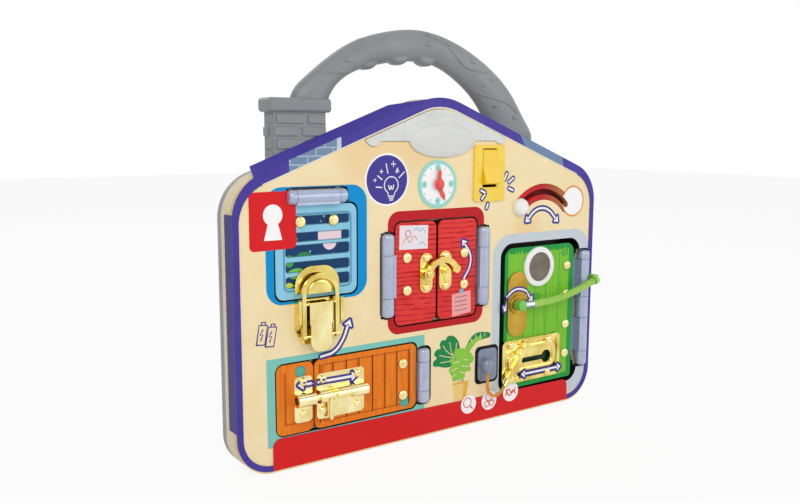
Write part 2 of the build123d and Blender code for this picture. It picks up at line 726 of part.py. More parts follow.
lever_plate = slab(rounded(
    [(latch_x - lever_half, 100.0), (latch_x + lever_half, 100.0),
     (latch_x + lever_half, lever_axis[1] + 1.4), (latch_x - lever_half, lever_axis[1] + 1.4)],
    [0, 0, 1, 1]), -6.4, -5.2)
tongue = slab(rounded(
    [(latch_x - 8.0, 81.0), (latch_x + 8.0, 81.0), (latch_x + 8.0, 101.0), (latch_x - 8.0, 101.0)],
    [7, 7, 0, 0]), -6.4, -5.2)
lever = lever_plate + tongue
for x0 in (latch_x - lever_half, latch_x + lever_half - cheek):
    wall = block(x0, x0 + cheek, -5.3, lever_axis[0], 100.0, lever_axis[1] + 1.4)
    wall = wall + bar_x(x0, x0 + cheek, *lever_axis, 1.4)
    lever = lever + wall
for sign in (-1, 1):
    x0, x1 = sorted((latch_x + sign * (lever_half - cheek), latch_x + sign * (rail_outer - 0.4)))
    lever = lever + bar_x(x0, x1, *lever_axis, lever_pin)
lever = lever + bar_x(latch_x - loop_outer, latch_x + loop_outer, *loop_axis, loop_pin)
write("latch_lever", lever)

ring = Pos(latch_x, loop_centre) * (Circle(loop_outer) - Circle(loop_inner))
ring = ring & (Pos(latch_x, loop_centre + 20) * Rectangle(60, 40))
loop = slab(ring, *loop_y)
for sign in (-1, 1):
    x0, x1 = sorted((latch_x + sign * loop_inner, latch_x + sign * loop_outer))
    loop = loop + block(x0, x1, loop_y[0], loop_y[1], loop_axis[1], loop_centre + 0.1)
    loop = loop + bar_x(x0, x1, *loop_axis, loop_eye)
loop = loop - bar_x(latch_x - 20, latch_x + 20, *loop_axis, loop_pin + hole_play)
write("latch_loop", loop)

# shutters, hook and post
hook_x = -12.6
hook_z = 125.7
post_x = 5.2
post_z = 126.0
hasp_wide = 11.4
hasp_high = 29.8
pivot = (-12.8, 125.2)
pivot_pin = 1.4
arm_y = (-5.6, -3.7)
arm_wide = 4.2
arm_hub = 4.4
arm_knob = 3.1
arm_path = ((-12.8, 125.2), (0.4, 135.0), (13.2, 127.2))
left_hasp_screws = ((hook_x, 137.0), (hook_x, 114.6))
right_hasp_screws = ((post_x, 137.4), (post_x, 114.6))
write("left_shutter", door(left_leaf, 5.0, left_rivets, left_hasp_screws))
write("right_shutter", door(right_leaf, 5.0, right_rivets, right_hasp_screws))


def obround(x, z, wide, high):
    return Pos(x, z) * SlotOverall(high, wide, rotation=90)


hook_plate = slab(obround(hook_x, hook_z, hasp_wide, hasp_high), -plate_thick, 0)
hook_plate = drill(hook_plate, left_hasp_screws, screw_shank + hole_play, -3, 1)
hook_plate = hook_plate + disc(*pivot, 4.2, arm_y[1] + 0.3, -plate_thick + 0.1)
hook_plate = hook_plate + disc(*pivot, pivot_pin, arm_y[0] - 0.8, arm_y[1] + 0.4)
hook_plate = hook_plate + button(*pivot, arm_y[0] - 0.3, 2.7, 1.2)
write("hook_plate", hook_plate)
arm_shape = trace(ThreePointArc(*arm_path), line_width=arm_wide)
arm_shape = arm_shape + Pos(*pivot) * Circle(arm_hub)
arm_shape = arm_shape + Pos(*arm_path[2]) * Circle(arm_knob)
arm_shape = arm_shape - Pos(*pivot) * Circle(pivot_pin + hole_play)
write("hook_arm", slab(arm_shape, *arm_y))
post_plate = slab(obround(post_x, post_z, hasp_wide, hasp_high), -plate_thick, 0)
post_plate = drill(post_plate, right_hasp_screws, screw_shank + hole_play, -3, 1)
post_plate = post_plate + disc(post_x, post_z, 3.5, -2.6, -plate_thick + 0.1)
post_plate = post_plate + disc(post_x, post_z, 2.2, -5.4, -2.5)
post_plate = post_plate + block(post_x - 1.1, post_x + 1.1, -2.3, -1.1, 118.2, post_z)
write("post_plate", post_plate)
left_set = [rivet(x, z) for x, z in left_rivets]
left_set = left_set + [screw(x, z, -plate_thick) for x, z in left_hasp_screws]
right_set = [rivet(x, z) for x, z in right_rivets]
right_set = right_set + [screw(x, z, -plate_thick) for x, z in right_hasp_screws]
write("left_fasteners", *left_set)
write("right_fasteners", *right_set)

# cabinet: fixed block, door and barrel bolt
groove_x = (-102.5, -92.2, -81.3, -70.9, -59.4, -48.6, -38.0, -27.2)
groove_z = (28.2, 70.2)
groove_half = 0.35
groove_deep = 0.4
bolt_thick = 1.0
bolt_y = -4.0
bolt_z = 48.3
bolt_radius = 2.6
bolt_play = 0.08
tunnel_radius = 4.6
keeper_x = (-123.0, -109.3)
keeper_z = (31.6, 64.0)
bolt_plate_x = (-105.8, -67.4)
bolt_plate_z = (31.3, 63.7)
strap_end = -100.6
tunnel_start = -92.6
knob_slot_end = -79.2
rod_x = (-108.6, -70.5)
knob_bar_x = -96.6
knob_bar_y = -5.2
knob_bar_radius = 1.8
knob_bar_z = (30.7, 46.6)
keeper_screws = ((-116.4, 37.7), (-116.4, 60.2))
bolt_screws = ((-101.2, 37.4), (-101.2, 59.6), (-73.0, 37.2), (-73.0, 59.6))

cabinet_door = door(cabinet_leaf, 5.0, cabinet_rivets, bolt_screws)
for x in groove_x:
    cabinet_door = cabinet_door - block(x - groove_half, x + groove_half, -1, groove_deep, *groove_z)
write("cabinet_door", cabinet_door)
fixed = slab(panel(cabinet_fixed, 5.0), 0, panel_depth)
write("cabinet_block", drill(fixed, keeper_screws, screw_shank + hole_play, -1, 4.0))


def tunnel(x0, x1):
    shape = bar_x(x0, x1, bolt_y, bolt_z, tunnel_radius)
    shape = shape + block(x0, x1, bolt_y, 0, bolt_z - tunnel_radius, bolt_z + tunnel_radius)
    return shape & block(x0 - 1, x1 + 1, -20, -bolt_thick + 0.1, 0, 100)


keeper = slab(panel((*keeper_x, *keeper_z), 3.0), -bolt_thick, 0) + tunnel(*keeper_x)
keeper = keeper - bar_x(keeper_x[0] - 5, keeper_x[1] + 5, bolt_y, bolt_z, bolt_radius + bolt_play)
write("bolt_keeper", drill(keeper, keeper_screws, screw_shank + hole_play, -3, 1))
plate = slab(panel((*bolt_plate_x, *bolt_plate_z), 3.0), -bolt_thick, 0)
plate = plate + tunnel(bolt_plate_x[0], strap_end) + tunnel(tunnel_start, bolt_plate_x[1])
plate = plate - bar_x(-120, -50, bolt_y, bolt_z, bolt_radius + bolt_play)
plate = plate - block(tunnel_start - 1, knob_slot_end, -12, bolt_y + 1.0, 38, bolt_z - 1.1)
plate = plate - block(-96.4, tunnel_start, -3, 1, 25, bolt_z - tunnel_radius - 0.4)
write("bolt_plate", drill(plate, bolt_screws, screw_shank + hole_play, -3, 1))
rod = bar_x(*rod_x, bolt_y, bolt_z, bolt_radius)
rod = fillet(rod.edges().filter_by(GeomType.CIRCLE), 0.8)
lug = bar_z(knob_bar_x, knob_bar_y, *knob_bar_z, knob_bar_radius)
lug = fillet(lug.faces().sort_by(Axis.Z)[0].edges(), 1.4)
write("bolt_rod", rod + lug)
cabinet_set = [rivet(x, z) for x, z in cabinet_rivets]
cabinet_set = cabinet_set + [screw(x, z, -bolt_thick) for x, z in bolt_screws]
write("cabinet_fasteners", *cabinet_set)

# green door: porthole, lock with its key, chain latch
porthole = (102.5, 120.4)
porthole_outer = 16.5
porthole_inner = 12.0
lock_plate_x = 79.3
lock_wide = 20.8
lock_high = 53.2
cylinder_radius = 5.0
chain_area = (63.2, 127.0, 26.9, 62.6)
chain_thick = 2.6
chain_floor = 1.2
chain_rim = 3.0
chain_z = 44.0
chain_start = 75.2
chain_stop = 112.6
chain_slot_half = 2.1
chain_hole = 5.3
chain_foot = 4.8
chain_screws = ((72.8, 58.6), (113.8, 58.4), (113.0, 30.4), (73.2, 30.6))
chain_head = 1.5
green_door = slab(rounded(
    [(green_leaf[0], green_leaf[2]), (green_leaf[1], green_leaf[2]),
     (green_leaf[1], green_leaf[3]), (green_leaf[0], green_leaf[3])], [3, 3, 8, 8]), 0, panel_depth)
green_door = drill(green_door, green_rivets, rivet_shank + hole_play, -1, 6)
green_door = drill(green_door, chain_screws, screw_shank + hole_play, -1, 3.0)
green_door = green_door - disc(lock_x, lock_z, cylinder_radius + hole_play, -1, 6)
groove = Pos((chain_start + chain_stop) / 2, chain_z)
groove = groove * SlotCenterToCenter(chain_stop - chain_start, 2 * chain_foot + 1.0)
green_door = green_door - slab(groove, -1, 2.3)
write("green_door", green_door)

rim = disc(*porthole, porthole_outer, -2.0, 0)
rim = fillet(rim.faces().sort_by(Axis.Y)[0].edges(), 1.2)
rim = rim - disc(*porthole, porthole_inner + 0.05, -3, 1)
write("porthole_ring", rim)
write("porthole_mirror", disc(*porthole, porthole_inner, -0.8, 0))

lock_plate = slab(obround(lock_plate_x, lock_z, lock_wide, lock_high), -plate_thick, 0)
collar = disc(lock_x, lock_z, 7.6, -2.6, -plate_thick + 0.1)
collar = fillet(collar.faces().sort_by(Axis.Y)[0].edges(), 0.8)
lock_plate = lock_plate + collar
lock_plate = lock_plate - disc(lock_x, lock_z, cylinder_radius + hole_play, -4, 1)
lock_plate = lock_plate - disc(*porthole, porthole_outer + 0.2, -4, 1)
write("lock_plate", lock_plate)
cylinder = disc(lock_x, lock_z, cylinder_radius, -3.0, panel_depth + 0.4)
cam = slab(rounded(
    [(lock_x - cam_half, lock_z - 5), (lock_x + cam_half, lock_z - 5),
     (lock_x + cam_half, lock_z + cam_length), (lock_x - cam_half, lock_z + cam_length)],
    [3, 3, 3, 3]), panel_depth + 0.3, panel_depth + 1.9)
cylinder = cylinder + cam
cylinder = cylinder - disc(lock_x, lock_z, 1.55, -4, 3.2)
write("lock_cylinder", cylinder)
key_y = -6.2
ferrule_radius = 2.9
ferrule_x = (81.6, 91.4)
key = disc(lock_x, lock_z, 4.4, -9.4, -3.0)
key = fillet(key.faces().sort_by(Axis.Y)[0].edges(), 1.2) + disc(lock_x, lock_z, 1.5, -3.2, 3.0)
key = key - bar_x(ferrule_x[0], ferrule_x[1], key_y, lock_z, ferrule_radius)
ferrule = bar_x(ferrule_x[0], ferrule_x[1], key_y, lock_z, ferrule_radius)
write("door_key", key, ferrule)

plate = slab(panel(chain_area, 4.0), -chain_thick, 0)
floor_area = (chain_area[0] + chain_rim, chain_area[1] - chain_rim,
              chain_area[2] + chain_rim, chain_area[3] - chain_rim)
plate = plate - slab(panel(floor_area, 2.5), -chain_thick - 1, -chain_floor)
for x, z in chain_screws:
    plate = plate + disc(x, z, 3.6, -chain_thick, 0)
slot_x = Pos((chain_start + chain_stop) / 2, chain_z)
slot_shape = slot_x * SlotCenterToCenter(chain_stop - chain_start, 2 * chain_slot_half)
slot_shape = slot_shape + Pos(chain_stop, chain_z) * Circle(chain_hole)
plate = plate - slab(slot_shape, -5, 1)
write("chain_plate", drill(plate, chain_screws, screw_shank + hole_play, -5, 1))

blade_length = 39.7
blade_turn = 52.0
blade_y = (-6.7, -5.3)
blade_x = 75.8
blade_z = 44.4
cord_radius = 1.25
cord_step = 7.4
along_x = math.cos(math.radians(blade_turn))
along_z = math.sin(math.radians(blade_turn))
tip_x = blade_x - along_x * blade_length / 2
tip_z = blade_z - along_z * blade_length / 2
cord_mid_y = -6.0
slider = disc(chain_start, chain_z, 7.4, -5.4, -1.5)
slider = fillet(slider.faces().sort_by(Axis.Y)[0].edges(), 1.4)
slider = slider + disc(chain_start, chain_z, 1.8, -1.7, 0.6)
slider = slider + disc(chain_start, chain_z, chain_foot, 0.4, 1.9)
blade = slab(Pos(blade_x, blade_z) * SlotOverall(blade_length, 4.2, rotation=blade_turn), *blade_y)
slider = slider + blade + disc(chain_start, chain_z, 3.0, -5.6, -5.2)
end_x = tip_x - 1.6 * along_x
end_z = tip_z - 1.6 * along_z
socket_plane = Plane(origin=(end_x, cord_mid_y, end_z), z_dir=(along_x, 0, along_z))
slider = slider + extrude(socket_plane * Circle(1.5), amount=5.0)
write("chain_slider", slider)

anchor_area = (39.2, 58.0, 33.5, 59.5)
steps = [(end_x, cord_mid_y, end_z)]
depths = (-6.0, -5.7, -5.2)
heading = blade_turn
for depth in depths:
    x, y, z = steps[0]
    turn = math.radians(heading)
    steps.insert(0, (x - cord_step * math.cos(turn), depth, z - cord_step * math.sin(turn)))
    heading = heading - 47.3
anchor_x = steps[0][0]
anchor_y = steps[0][1]
anchor_foot = steps[0][2] + 14.6
steps.insert(0, (anchor_x, anchor_y, anchor_foot))
print("chain cord points", [[round(value, 3) for value in point] for point in steps])
chain_cord = cord(steps, cord_radius, "chain_cord")
write("chain_cord", chain_cord)
anchor = slab(panel(anchor_area, 4.0), -plate_thick, 0)
anchor = anchor + button(anchor_x + 1.2, 47.0, -plate_thick + 0.1, 5.6, 7.0)
anchor = anchor + bar_z(anchor_x, anchor_y, anchor_foot, 47.0, 2.0)
write("cord_anchor", anchor)

key_cord_radius = 3.1
peg_x = (161.2, 164.6)
peg_z = (101.0, 109.0)
peg_front = -9.0
gland_radius = 3.7
gland_length = 3.4
key_cord_points = [(ferrule_x[1], key_y, lock_z), (111.0, key_y, lock_z), (136.0, -8.4, 96.4),
                   (159.8, -8.6, 104.4)]
write("key_cord", cord(key_cord_points, key_cord_radius, "key_cord"))
last_run = Vector(*key_cord_points[3]) - Vector(*key_cord_points[2])
gland_plane = Plane(origin=key_cord_points[3], z_dir=last_run.normalized())
gland = extrude(gland_plane * Circle(gland_radius), amount=gland_length)
write("key_cord_peg", block(*peg_x, peg_front, -card, *peg_z) + gland)
green_set = [rivet(x, z) for x, z in green_rivets]
green_set = green_set + [screw(x, z, -chain_thick, 5.0, 2.9, chain_head) for x, z in chain_screws]
write("green_fasteners", *green_set)

# fasteners on the board itself
board_set = [screw(x, z, -bolt_thick) for x, z in keeper_screws]
board_set = board_set + [screw(x, z, -base_thick, 3.0, 2.6, 1.4) for x, z in latch_screws]
write("board_screws", *board_set)
case_set = []
for x, z in case_spots:
    shank = disc(x, z, case_screw_radius - 0.05, 2.2, board_depth - 1.4)
    case_set.append(shank + disc(x, z, case_head_radius, board_depth - 1.6, board_depth))
for x, z in handle_screws:
    shank = disc(x, z, case_screw_radius - 0.05, handle_split - 4.3, handle_split + 5)
    case_set.append(shank + disc(x, z, case_head_radius, handle_split + 4, handle_split + 6))
shank = disc(*cover_screw, 0.55, 17, board_depth + 0.4)
case_set.append(shank + disc(*cover_screw, 1.2, board_depth, board_depth + 0.8))
write("case_screws", *case_set)
print("nodes", len(written))
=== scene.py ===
import json
import math
from functools import reduce

import bmesh
import bpy
from mathutils import Matrix, Vector
from mathutils.bvhtree import BVHTree

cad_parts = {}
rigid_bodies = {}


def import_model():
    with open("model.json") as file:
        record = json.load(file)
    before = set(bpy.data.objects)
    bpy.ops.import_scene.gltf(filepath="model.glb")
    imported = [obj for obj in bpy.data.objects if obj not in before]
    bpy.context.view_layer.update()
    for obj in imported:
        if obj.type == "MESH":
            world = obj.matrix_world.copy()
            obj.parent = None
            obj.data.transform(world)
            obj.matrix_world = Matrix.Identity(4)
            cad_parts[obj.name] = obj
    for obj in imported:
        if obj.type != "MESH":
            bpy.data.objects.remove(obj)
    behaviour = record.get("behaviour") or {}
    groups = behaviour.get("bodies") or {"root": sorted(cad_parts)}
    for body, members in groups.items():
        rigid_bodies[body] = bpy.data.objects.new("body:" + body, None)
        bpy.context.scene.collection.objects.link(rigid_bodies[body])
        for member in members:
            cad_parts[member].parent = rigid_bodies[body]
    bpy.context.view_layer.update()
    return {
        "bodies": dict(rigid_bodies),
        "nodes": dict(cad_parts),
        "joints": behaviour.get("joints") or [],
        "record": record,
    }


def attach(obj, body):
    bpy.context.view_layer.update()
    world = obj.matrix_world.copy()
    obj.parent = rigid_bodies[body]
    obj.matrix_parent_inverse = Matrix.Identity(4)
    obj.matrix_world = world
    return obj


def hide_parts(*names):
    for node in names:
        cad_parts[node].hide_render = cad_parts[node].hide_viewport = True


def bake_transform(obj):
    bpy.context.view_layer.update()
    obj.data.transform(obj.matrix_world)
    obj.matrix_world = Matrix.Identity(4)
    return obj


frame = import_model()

nodes = frame["nodes"]
frontShift = -12.25  # front plane of the board to the row frame, mm
white = (1.0, 1.0, 1.0, 1.0)


def place(x, y, z):
    return Vector((x, y + frontShift, z)) * 0.001


def tint(red, green, blue):
    # screen colour, 0 to 255, to the linear value a socket wants
    out = []
    for part in (red, green, blue):
        part = part / 255
        out.append(part / 12.92 if part <= 0.04045 else ((part + 0.055) / 1.055) ** 2.4)
    return (*out, 1.0)


class Field:
    # a value on its way through a material: sums on it add the Math nodes
    def __init__(self, paint, socket):
        self.paint = paint
        self.socket = socket

    def math(self, operation, *others, clamp=False):
        sockets = dict(enumerate((self, *others)))
        return self.paint.node("ShaderNodeMath", {"operation": operation, "use_clamp": clamp}, sockets)

    def __add__(self, other):
        return self.math("ADD", other)

    def __sub__(self, other):
        return self.math("SUBTRACT", other)

    def __mul__(self, other):
        return self.math("MULTIPLY", other)

    def __truediv__(self, other):
        return self.math("DIVIDE", other)

    def __rsub__(self, other):
        return self.paint.node("ShaderNodeMath", {"operation": "SUBTRACT"}, {0: other, 1: self})

    def __rtruediv__(self, other):
        return self.paint.node("ShaderNodeMath", {"operation": "DIVIDE"}, {0: other, 1: self})

    def __neg__(self):
        return self * -1.0

    def __abs__(self):
        return self.math("ABSOLUTE")

    def __mod__(self, other):
        return self.math("FLOORED_MODULO", other)

    __radd__ = __add__
    __rmul__ = __mul__

    def low(self, other):
        return self.math("MINIMUM", other)

    def high(self, other):
        return self.math("MAXIMUM", other)

    def held(self):
        return self.math("ADD", 0.0, clamp=True)

    def past(self, sharp=20.0):
        # 1 where a distance is above nought; sharp is how fast it gets there
        return self.math("MULTIPLY", sharp, clamp=True)

    def inside(self, soft=0.14):
        # 1 where a distance is below nought, with a soft edge that many mm wide
        return self.math("MULTIPLY_ADD", -1.0 / soft, 0.5, clamp=True)

    def over(self, shade, amount):
        # this colour with a screen colour laid over it
        return self.paint.mix(self, tint(*shade), amount)


def distance(dx, dz):
    return (dx * dx + dz * dz).math("SQRT")


class Tree:
    # the nodes of a material or of the world; each node is made by its one method
    def __init__(self, holder):
        holder.use_nodes = True
        self.tree = holder.node_tree
        self.tree.nodes.clear()

    def node(self, kind, settings=None, sockets=None, output=0):
        made = self.tree.nodes.new(kind)
        for key, value in (settings or {}).items():
            if key == "stops":
                ramp = made.color_ramp
                while len(ramp.elements) < len(value):
                    ramp.elements.new(0.5)
                for element, (position, colour) in zip(ramp.elements, value):
                    element.position = position
                    element.color = colour
            else:
                setattr(made, key, value)
        for key, value in (sockets or {}).items():
            if isinstance(value, Field):
                self.tree.links.new(value.socket, made.inputs[key])
            else:
                made.inputs[key].default_value = value
        return None if output is None else Field(self, made.outputs[output])

    def background(self, strength):
        return self.node("ShaderNodeBackground", {}, {"Color": white, "Strength": strength})

    def glow(self, colour):
        return self.node("ShaderNodeEmission", {}, {"Color": colour, "Strength": 1.0})

    def blend(self, amount, below, above):
        return self.node("ShaderNodeMixShader", {}, {0: amount, 1: below, 2: above})

    def ray(self, kind):
        return self.node("ShaderNodeLightPath", output=f"Is {kind} Ray")


class Paint(Tree):
    # one material and the few shapes its patterns are made of, in board millimetres
    def __init__(self, name):
        self.material = bpy.data.materials.new(name)
        super().__init__(self.material)
        where = self.node("ShaderNodeTexCoord", output="Object")
        self.spot = self.node("ShaderNodeVectorMath", {"operation": "MULTIPLY_ADD"},
                              {0: where, 1: (1000, 1000, 1000), 2: (0, -frontShift, 0)})
        self.x, self.y, self.z = (
            self.node("ShaderNodeSeparateXYZ", sockets={0: self.spot}, output=axis) for axis in (0, 1, 2))

    def mix(self, below, above, amount):
        return self.node("ShaderNodeMix", {"data_type": "RGBA"}, {0: amount, 6: below, 7: above}, output=2)

    def ramp(self, value, *stops):
        return self.node("ShaderNodeValToRGB", {"stops": stops}, {0: value})

    def between(self, value, low, high):
        # from one screen colour to another over the middle of a noise
        return self.ramp(value, (0.3, tint(*low)), (0.7, tint(*high)))

    def stretched(self, across, along, up):
        return self.node("ShaderNodeVectorMath", {"operation": "MULTIPLY"},
                         {0: self.spot, 1: (across, along, up)})

    def noise(self, scale, detail=3.0, rough=0.5, vector=None):
        return self.node("ShaderNodeTexNoise", {}, {
            "Vector": vector or self.spot, "Scale": scale, "Detail": detail, "Roughness": rough})

    def cells(self, scale):
        return self.node("ShaderNodeTexVoronoi", {}, {"Vector": self.spot, "Scale": scale})

    def disc(self, x, z, radius):
        return distance(self.x - x, self.z - z) - radius

    def box(self, x0, x1, z0, z1, corner=0.0):
        dx = abs(self.x - (x0 + x1) / 2) - ((x1 - x0) / 2 - corner)
        dz = abs(self.z - (z0 + z1) / 2) - ((z1 - z0) / 2 - corner)
        return distance(dx.high(0.0), dz.high(0.0)) + dx.high(dz).low(0.0) - corner

    def boxes(self, places, corner=0.0):
        # below nought inside any of several boxes
        return reduce(Field.low, (self.box(*place, corner) for place in places))

    def side(self, x0, z0, x1, z1):
        # below nought on the right-hand side of the way from the first point to the second
        span = math.hypot(x1 - x0, z1 - z0)
        nx, nz = -(z1 - z0) / span, (x1 - x0) / span
        return self.x * nx + self.z * nz - (x0 * nx + z0 * nz)

    def roof(self, peak):
        # height above a slope that falls both ways from its peak
        return abs(self.x) * roof["slope"] + self.z - peak

    def printed(self, colour, fibre, rough, depth, specular=0.2):
        # ink on paper or thin board, with its fibre just showing
        return self.finish(colour, rough + fibre * 0.12, bump=fibre, depth=depth, specular=specular)

    def finish(self, base, rough=0.5, metal=0.0, coat=0.0, coatRough=0.1, bump=None, depth=0.05,
               specular=0.5, **more):
        sockets = {"Base Color": base, "Roughness": rough, "Metallic": metal, "Coat Weight": coat,
                   "Coat Roughness": coatRough, "Specular IOR Level": specular, **more}
        if bump is not None:
            sockets["Normal"] = self.node("ShaderNodeBump", {}, {
                "Height": bump, "Strength": 1.0, "Distance": depth * 0.001})
        return self.close(self.node("ShaderNodeBsdfPrincipled", {}, sockets))

    def close(self, shader):
        self.node("ShaderNodeOutputMaterial", {}, {0: shader}, output=None)
        return self.material


def dress(material, *names):
    for name in names:
        for holder in nodes[name].material_slots:
            holder.material = material


def materialOf(name):
    return nodes[name].material_slots[0].material


def linked(name, data):
    made = bpy.data.objects.new(name, data)
    bpy.context.scene.collection.objects.link(made)
    return made


def makeMesh(name, shape, material=None, smooth=None):
    # an object from a finished bmesh, which is let go
    data = bpy.data.meshes.new(name)
    shape.to_mesh(data)
    shape.free()
    if material:
        data.materials.append(material)
    if smooth is not None:
        for face in data.polygons:
            face.use_smooth = smooth
    return linked(name, data)


def ownPiece(made, body=None, replaced=None):
    if body:
        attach(made, body)
    if replaced:
        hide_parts(replaced)
    return made


def standing(spot, way):
    # the matrix that turns a shape's Z to a way and sets it down at a spot
    return Matrix.Translation(spot) @ way.to_track_quat("Z", "Y").to_matrix().to_4x4()


def arc(x, z, radius, start, stop, count):
    # count points from one angle to another, in degrees
    angles = (math.radians(start + (stop - start) * n / (count - 1)) for n in range(count))
    return [(x + radius * math.cos(angle), z + radius * math.sin(angle)) for angle in angles]


def roundedLoop(corners, radius, count):
    # the loop round a box, given its round corners' centres from the upper right one leftwards
    return [point for number, (x, z) in enumerate(corners)
            for point in arc(x, z, radius, 90 * number, 90 * number + 90, count)]


def makeCurve(name, lines, kind, radius=0.0, bevel=3, steps=12, flat=False, closed=False):
    data = bpy.data.curves.new(name, "CURVE")
    data.dimensions = "2D" if flat else "3D"
    data.bevel_depth = radius
    data.bevel_resolution = bevel
    data.resolution_u = steps
    if flat:
        data.fill_mode = "BOTH"
    else:
        data.use_fill_caps = True
    for line in lines:
        spline = data.splines.new(kind)
        points = spline.bezier_points if kind == "BEZIER" else spline.points
        points.add(len(line) - 1)
        for point, spot in zip(points, line):
            at = (*spot, 0.0)[:3]
            if kind == "BEZIER":
                point.co = at
                point.handle_left_type = point.handle_right_type = "AUTO"
            else:
                point.co = (*at, 1.0)
        if kind == "NURBS":
            spline.order_u = 3
            spline.use_endpoint_u = True
        spline.use_cyclic_u = closed
    return linked(name, data)


def drawnShape(curve):
    # the mesh a curve draws, as a bmesh; the curve goes
    bpy.context.view_layer.update()
    data = bpy.data.meshes.new_from_object(curve)
    bpy.data.objects.remove(curve)
    shape = bmesh.new()
    shape.from_mesh(data)
    bpy.data.meshes.remove(data)
    return shape


# camera
cameraSettings = {
    "spot": (-377.5, -492.0, 227.6),
    "yaw": 34.794,
    "down": 7.997,
    "roll": 0.189,
    "lens": 37.685,
}


def makeCamera():
    yaw, down, roll = (math.radians(cameraSettings[key]) for key in ("yaw", "down", "roll"))
    ahead = Vector((math.sin(yaw) * math.cos(down), math.cos(yaw) * math.cos(down), -math.sin(down)))
    right = Vector((math.cos(yaw), -math.sin(yaw), 0.0))
    up = right.cross(ahead)
    turnedRight = right * math.cos(roll) + up * math.sin(roll)
    turnedUp = up * math.cos(roll) - right * math.sin(roll)
    data = bpy.data.cameras.new("camera")
    data.lens = cameraSettings["lens"]
    data.sensor_width = 36.0
    data.clip_start, data.clip_end = 0.01, 50.0
    camera = linked("camera", data)
    turn = Matrix((turnedRight, turnedUp, -ahead)).transposed()
    camera.matrix_world = Matrix.Translation(place(*cameraSettings["spot"])) @ turn.to_4x4()
    bpy.context.scene.camera = camera


makeCamera()
print("camera ready")


# cords come first, each on its route's own points
chainSettings = {
    "route": [(45.216, -5.2, 40.668), (45.216, -5.2, 26.068), (50.663, -5.7, 21.06),
              (58.038, -6.0, 21.666), (62.594, -6.0, 27.497)],
    "radius": 1.25,
    "part": 0.90,  # share of the length on the wall's side of the join
    "still": 6,  # points at the wall's end that a moving door leaves in place
    "strands": 3,
    "lay": 5.2,  # length of a turn, in radii
    "step": 0.6,
    "strandReach": 0.5,  # a strand's middle and its radius, in radii of the cord
    "strandRadius": 0.56,
}
keyCordSettings = {
    "route": [(91.4, -6.2, 91.4), (111.0, -6.2, 91.4), (136.0, -8.4, 96.4), (159.8, -8.6, 104.4)],
    "coil": 2.45,
    "wire": 0.55,
    "pitch": 1.95,
    "around": 14,  # points in a turn
    "easing": 10,  # points over which the coil opens from its middle line
    "part": 0.5,
}
leadSettings = {
    "route": [(-34, 13, 200), (-18, 13, 200), (-6, 13, 205), (-6, 13, 214)],
    "radius": 0.7,
}


def readRoute(settings):
    # the points along a cord's middle line, in order
    route = makeCurve("route", [[place(*point) for point in settings["route"]]], "NURBS")
    bpy.context.view_layer.update()
    drawn = bpy.data.meshes.new_from_object(route)
    line = [vertex.co.copy() for vertex in drawn.vertices]
    bpy.data.meshes.remove(drawn)
    bpy.data.objects.remove(route)
    return line


def lengthOf(line):
    return sum((b - a).length for a, b in zip(line, line[1:]))


def walk(line, step):
    # evenly spaced places along a line, each with its direction
    total = lengthOf(line)
    count = max(2, round(total / step))
    spots, index, gone = [], 0, 0.0
    for number in range(count + 1):
        wanted = total * number / count
        while index < len(line) - 2 and gone + (line[index + 1] - line[index]).length < wanted:
            gone += (line[index + 1] - line[index]).length
            index += 1
        way = line[index + 1] - line[index]
        spots.append((line[index] + way * min(1.0, (wanted - gone) / way.length), way.normalized()))
    return spots


def tubeAlong(name, line, radius, steps=4):
    # a mesh tube through places already read from a route
    return makeMesh(name, drawnShape(makeCurve(name + "Line", [line], "NURBS", radius, steps=steps)),
                    smooth=True)


cutSteps = 40  # a line is cut at the nearest of this many equal steps


def cutLine(line, share):
    spots = walk(line, lengthOf(line) / cutSteps)
    at = round(share * (len(spots) - 1))
    places = [spot for spot, _ in spots]
    return places[:at + 1], places[at:]


def twistedCord(name, line, radius):
    # strands laid round each other, as in a soft rope
    made = []
    strands, reach = chainSettings["strands"], chainSettings["strandReach"]
    spots = walk(line, chainSettings["step"] * 0.001)
    pitch = chainSettings["lay"] * radius
    step = lengthOf(line) / (len(spots) - 1)
    for strand in range(strands):
        points = []
        for number, (spot, way) in enumerate(spots):
            side = way.cross(Vector((0, 1, 0))).normalized()
            over = side.cross(way)
            angle = 2 * math.pi * (number * step / pitch + strand / strands)
            points.append(spot + (side * math.cos(angle) + over * math.sin(angle)) * radius * reach)
        made.append(tubeAlong(f"{name}Strand{strand}", points, radius * chainSettings["strandRadius"], 2))
    return made


def joinAll(name, parts):
    shape = bmesh.new()
    for part in parts:
        shape.from_mesh(part.data)
        bpy.data.objects.remove(part)
    return makeMesh(name, shape, smooth=True)


def ropeFinish():
    paint = Paint("orangeCord")
    weave = paint.noise(2.2, 4.0, 0.6, paint.stretched(1, 1, 0.5))
    fibre = paint.noise(9.0, 3.0, 0.7)
    colour = paint.ramp(weave, (0.3, tint(196, 122, 24)), (0.55, tint(229, 160, 50)),
                        (0.8, tint(246, 190, 92)))
    return paint.finish(colour, 0.75, bump=weave + fibre * 0.4, depth=0.12, specular=0.3,
                        **{"Sheen Weight": 0.25})


def coilFinish():
    paint = Paint("limeCoil")
    colour = paint.between(paint.noise(0.4, 2.0), (172, 222, 88), (198, 238, 126))
    return paint.finish(colour, 0.28 + paint.noise(3.0, 3.0) * 0.14, coat=0.2, coatRough=0.15,
                        bump=paint.noise(5.0, 2.0), depth=0.01,
                        **{"Subsurface Weight": 0.06, "Subsurface Scale": 0.002})


def leadFinish():
    paint = Paint("leadSkin")
    colour = paint.between(paint.noise(1.5, 2.0), (120, 20, 20), (160, 30, 28))
    return paint.finish(colour, 0.45, bump=paint.noise(6.0, 2.0), depth=0.02)


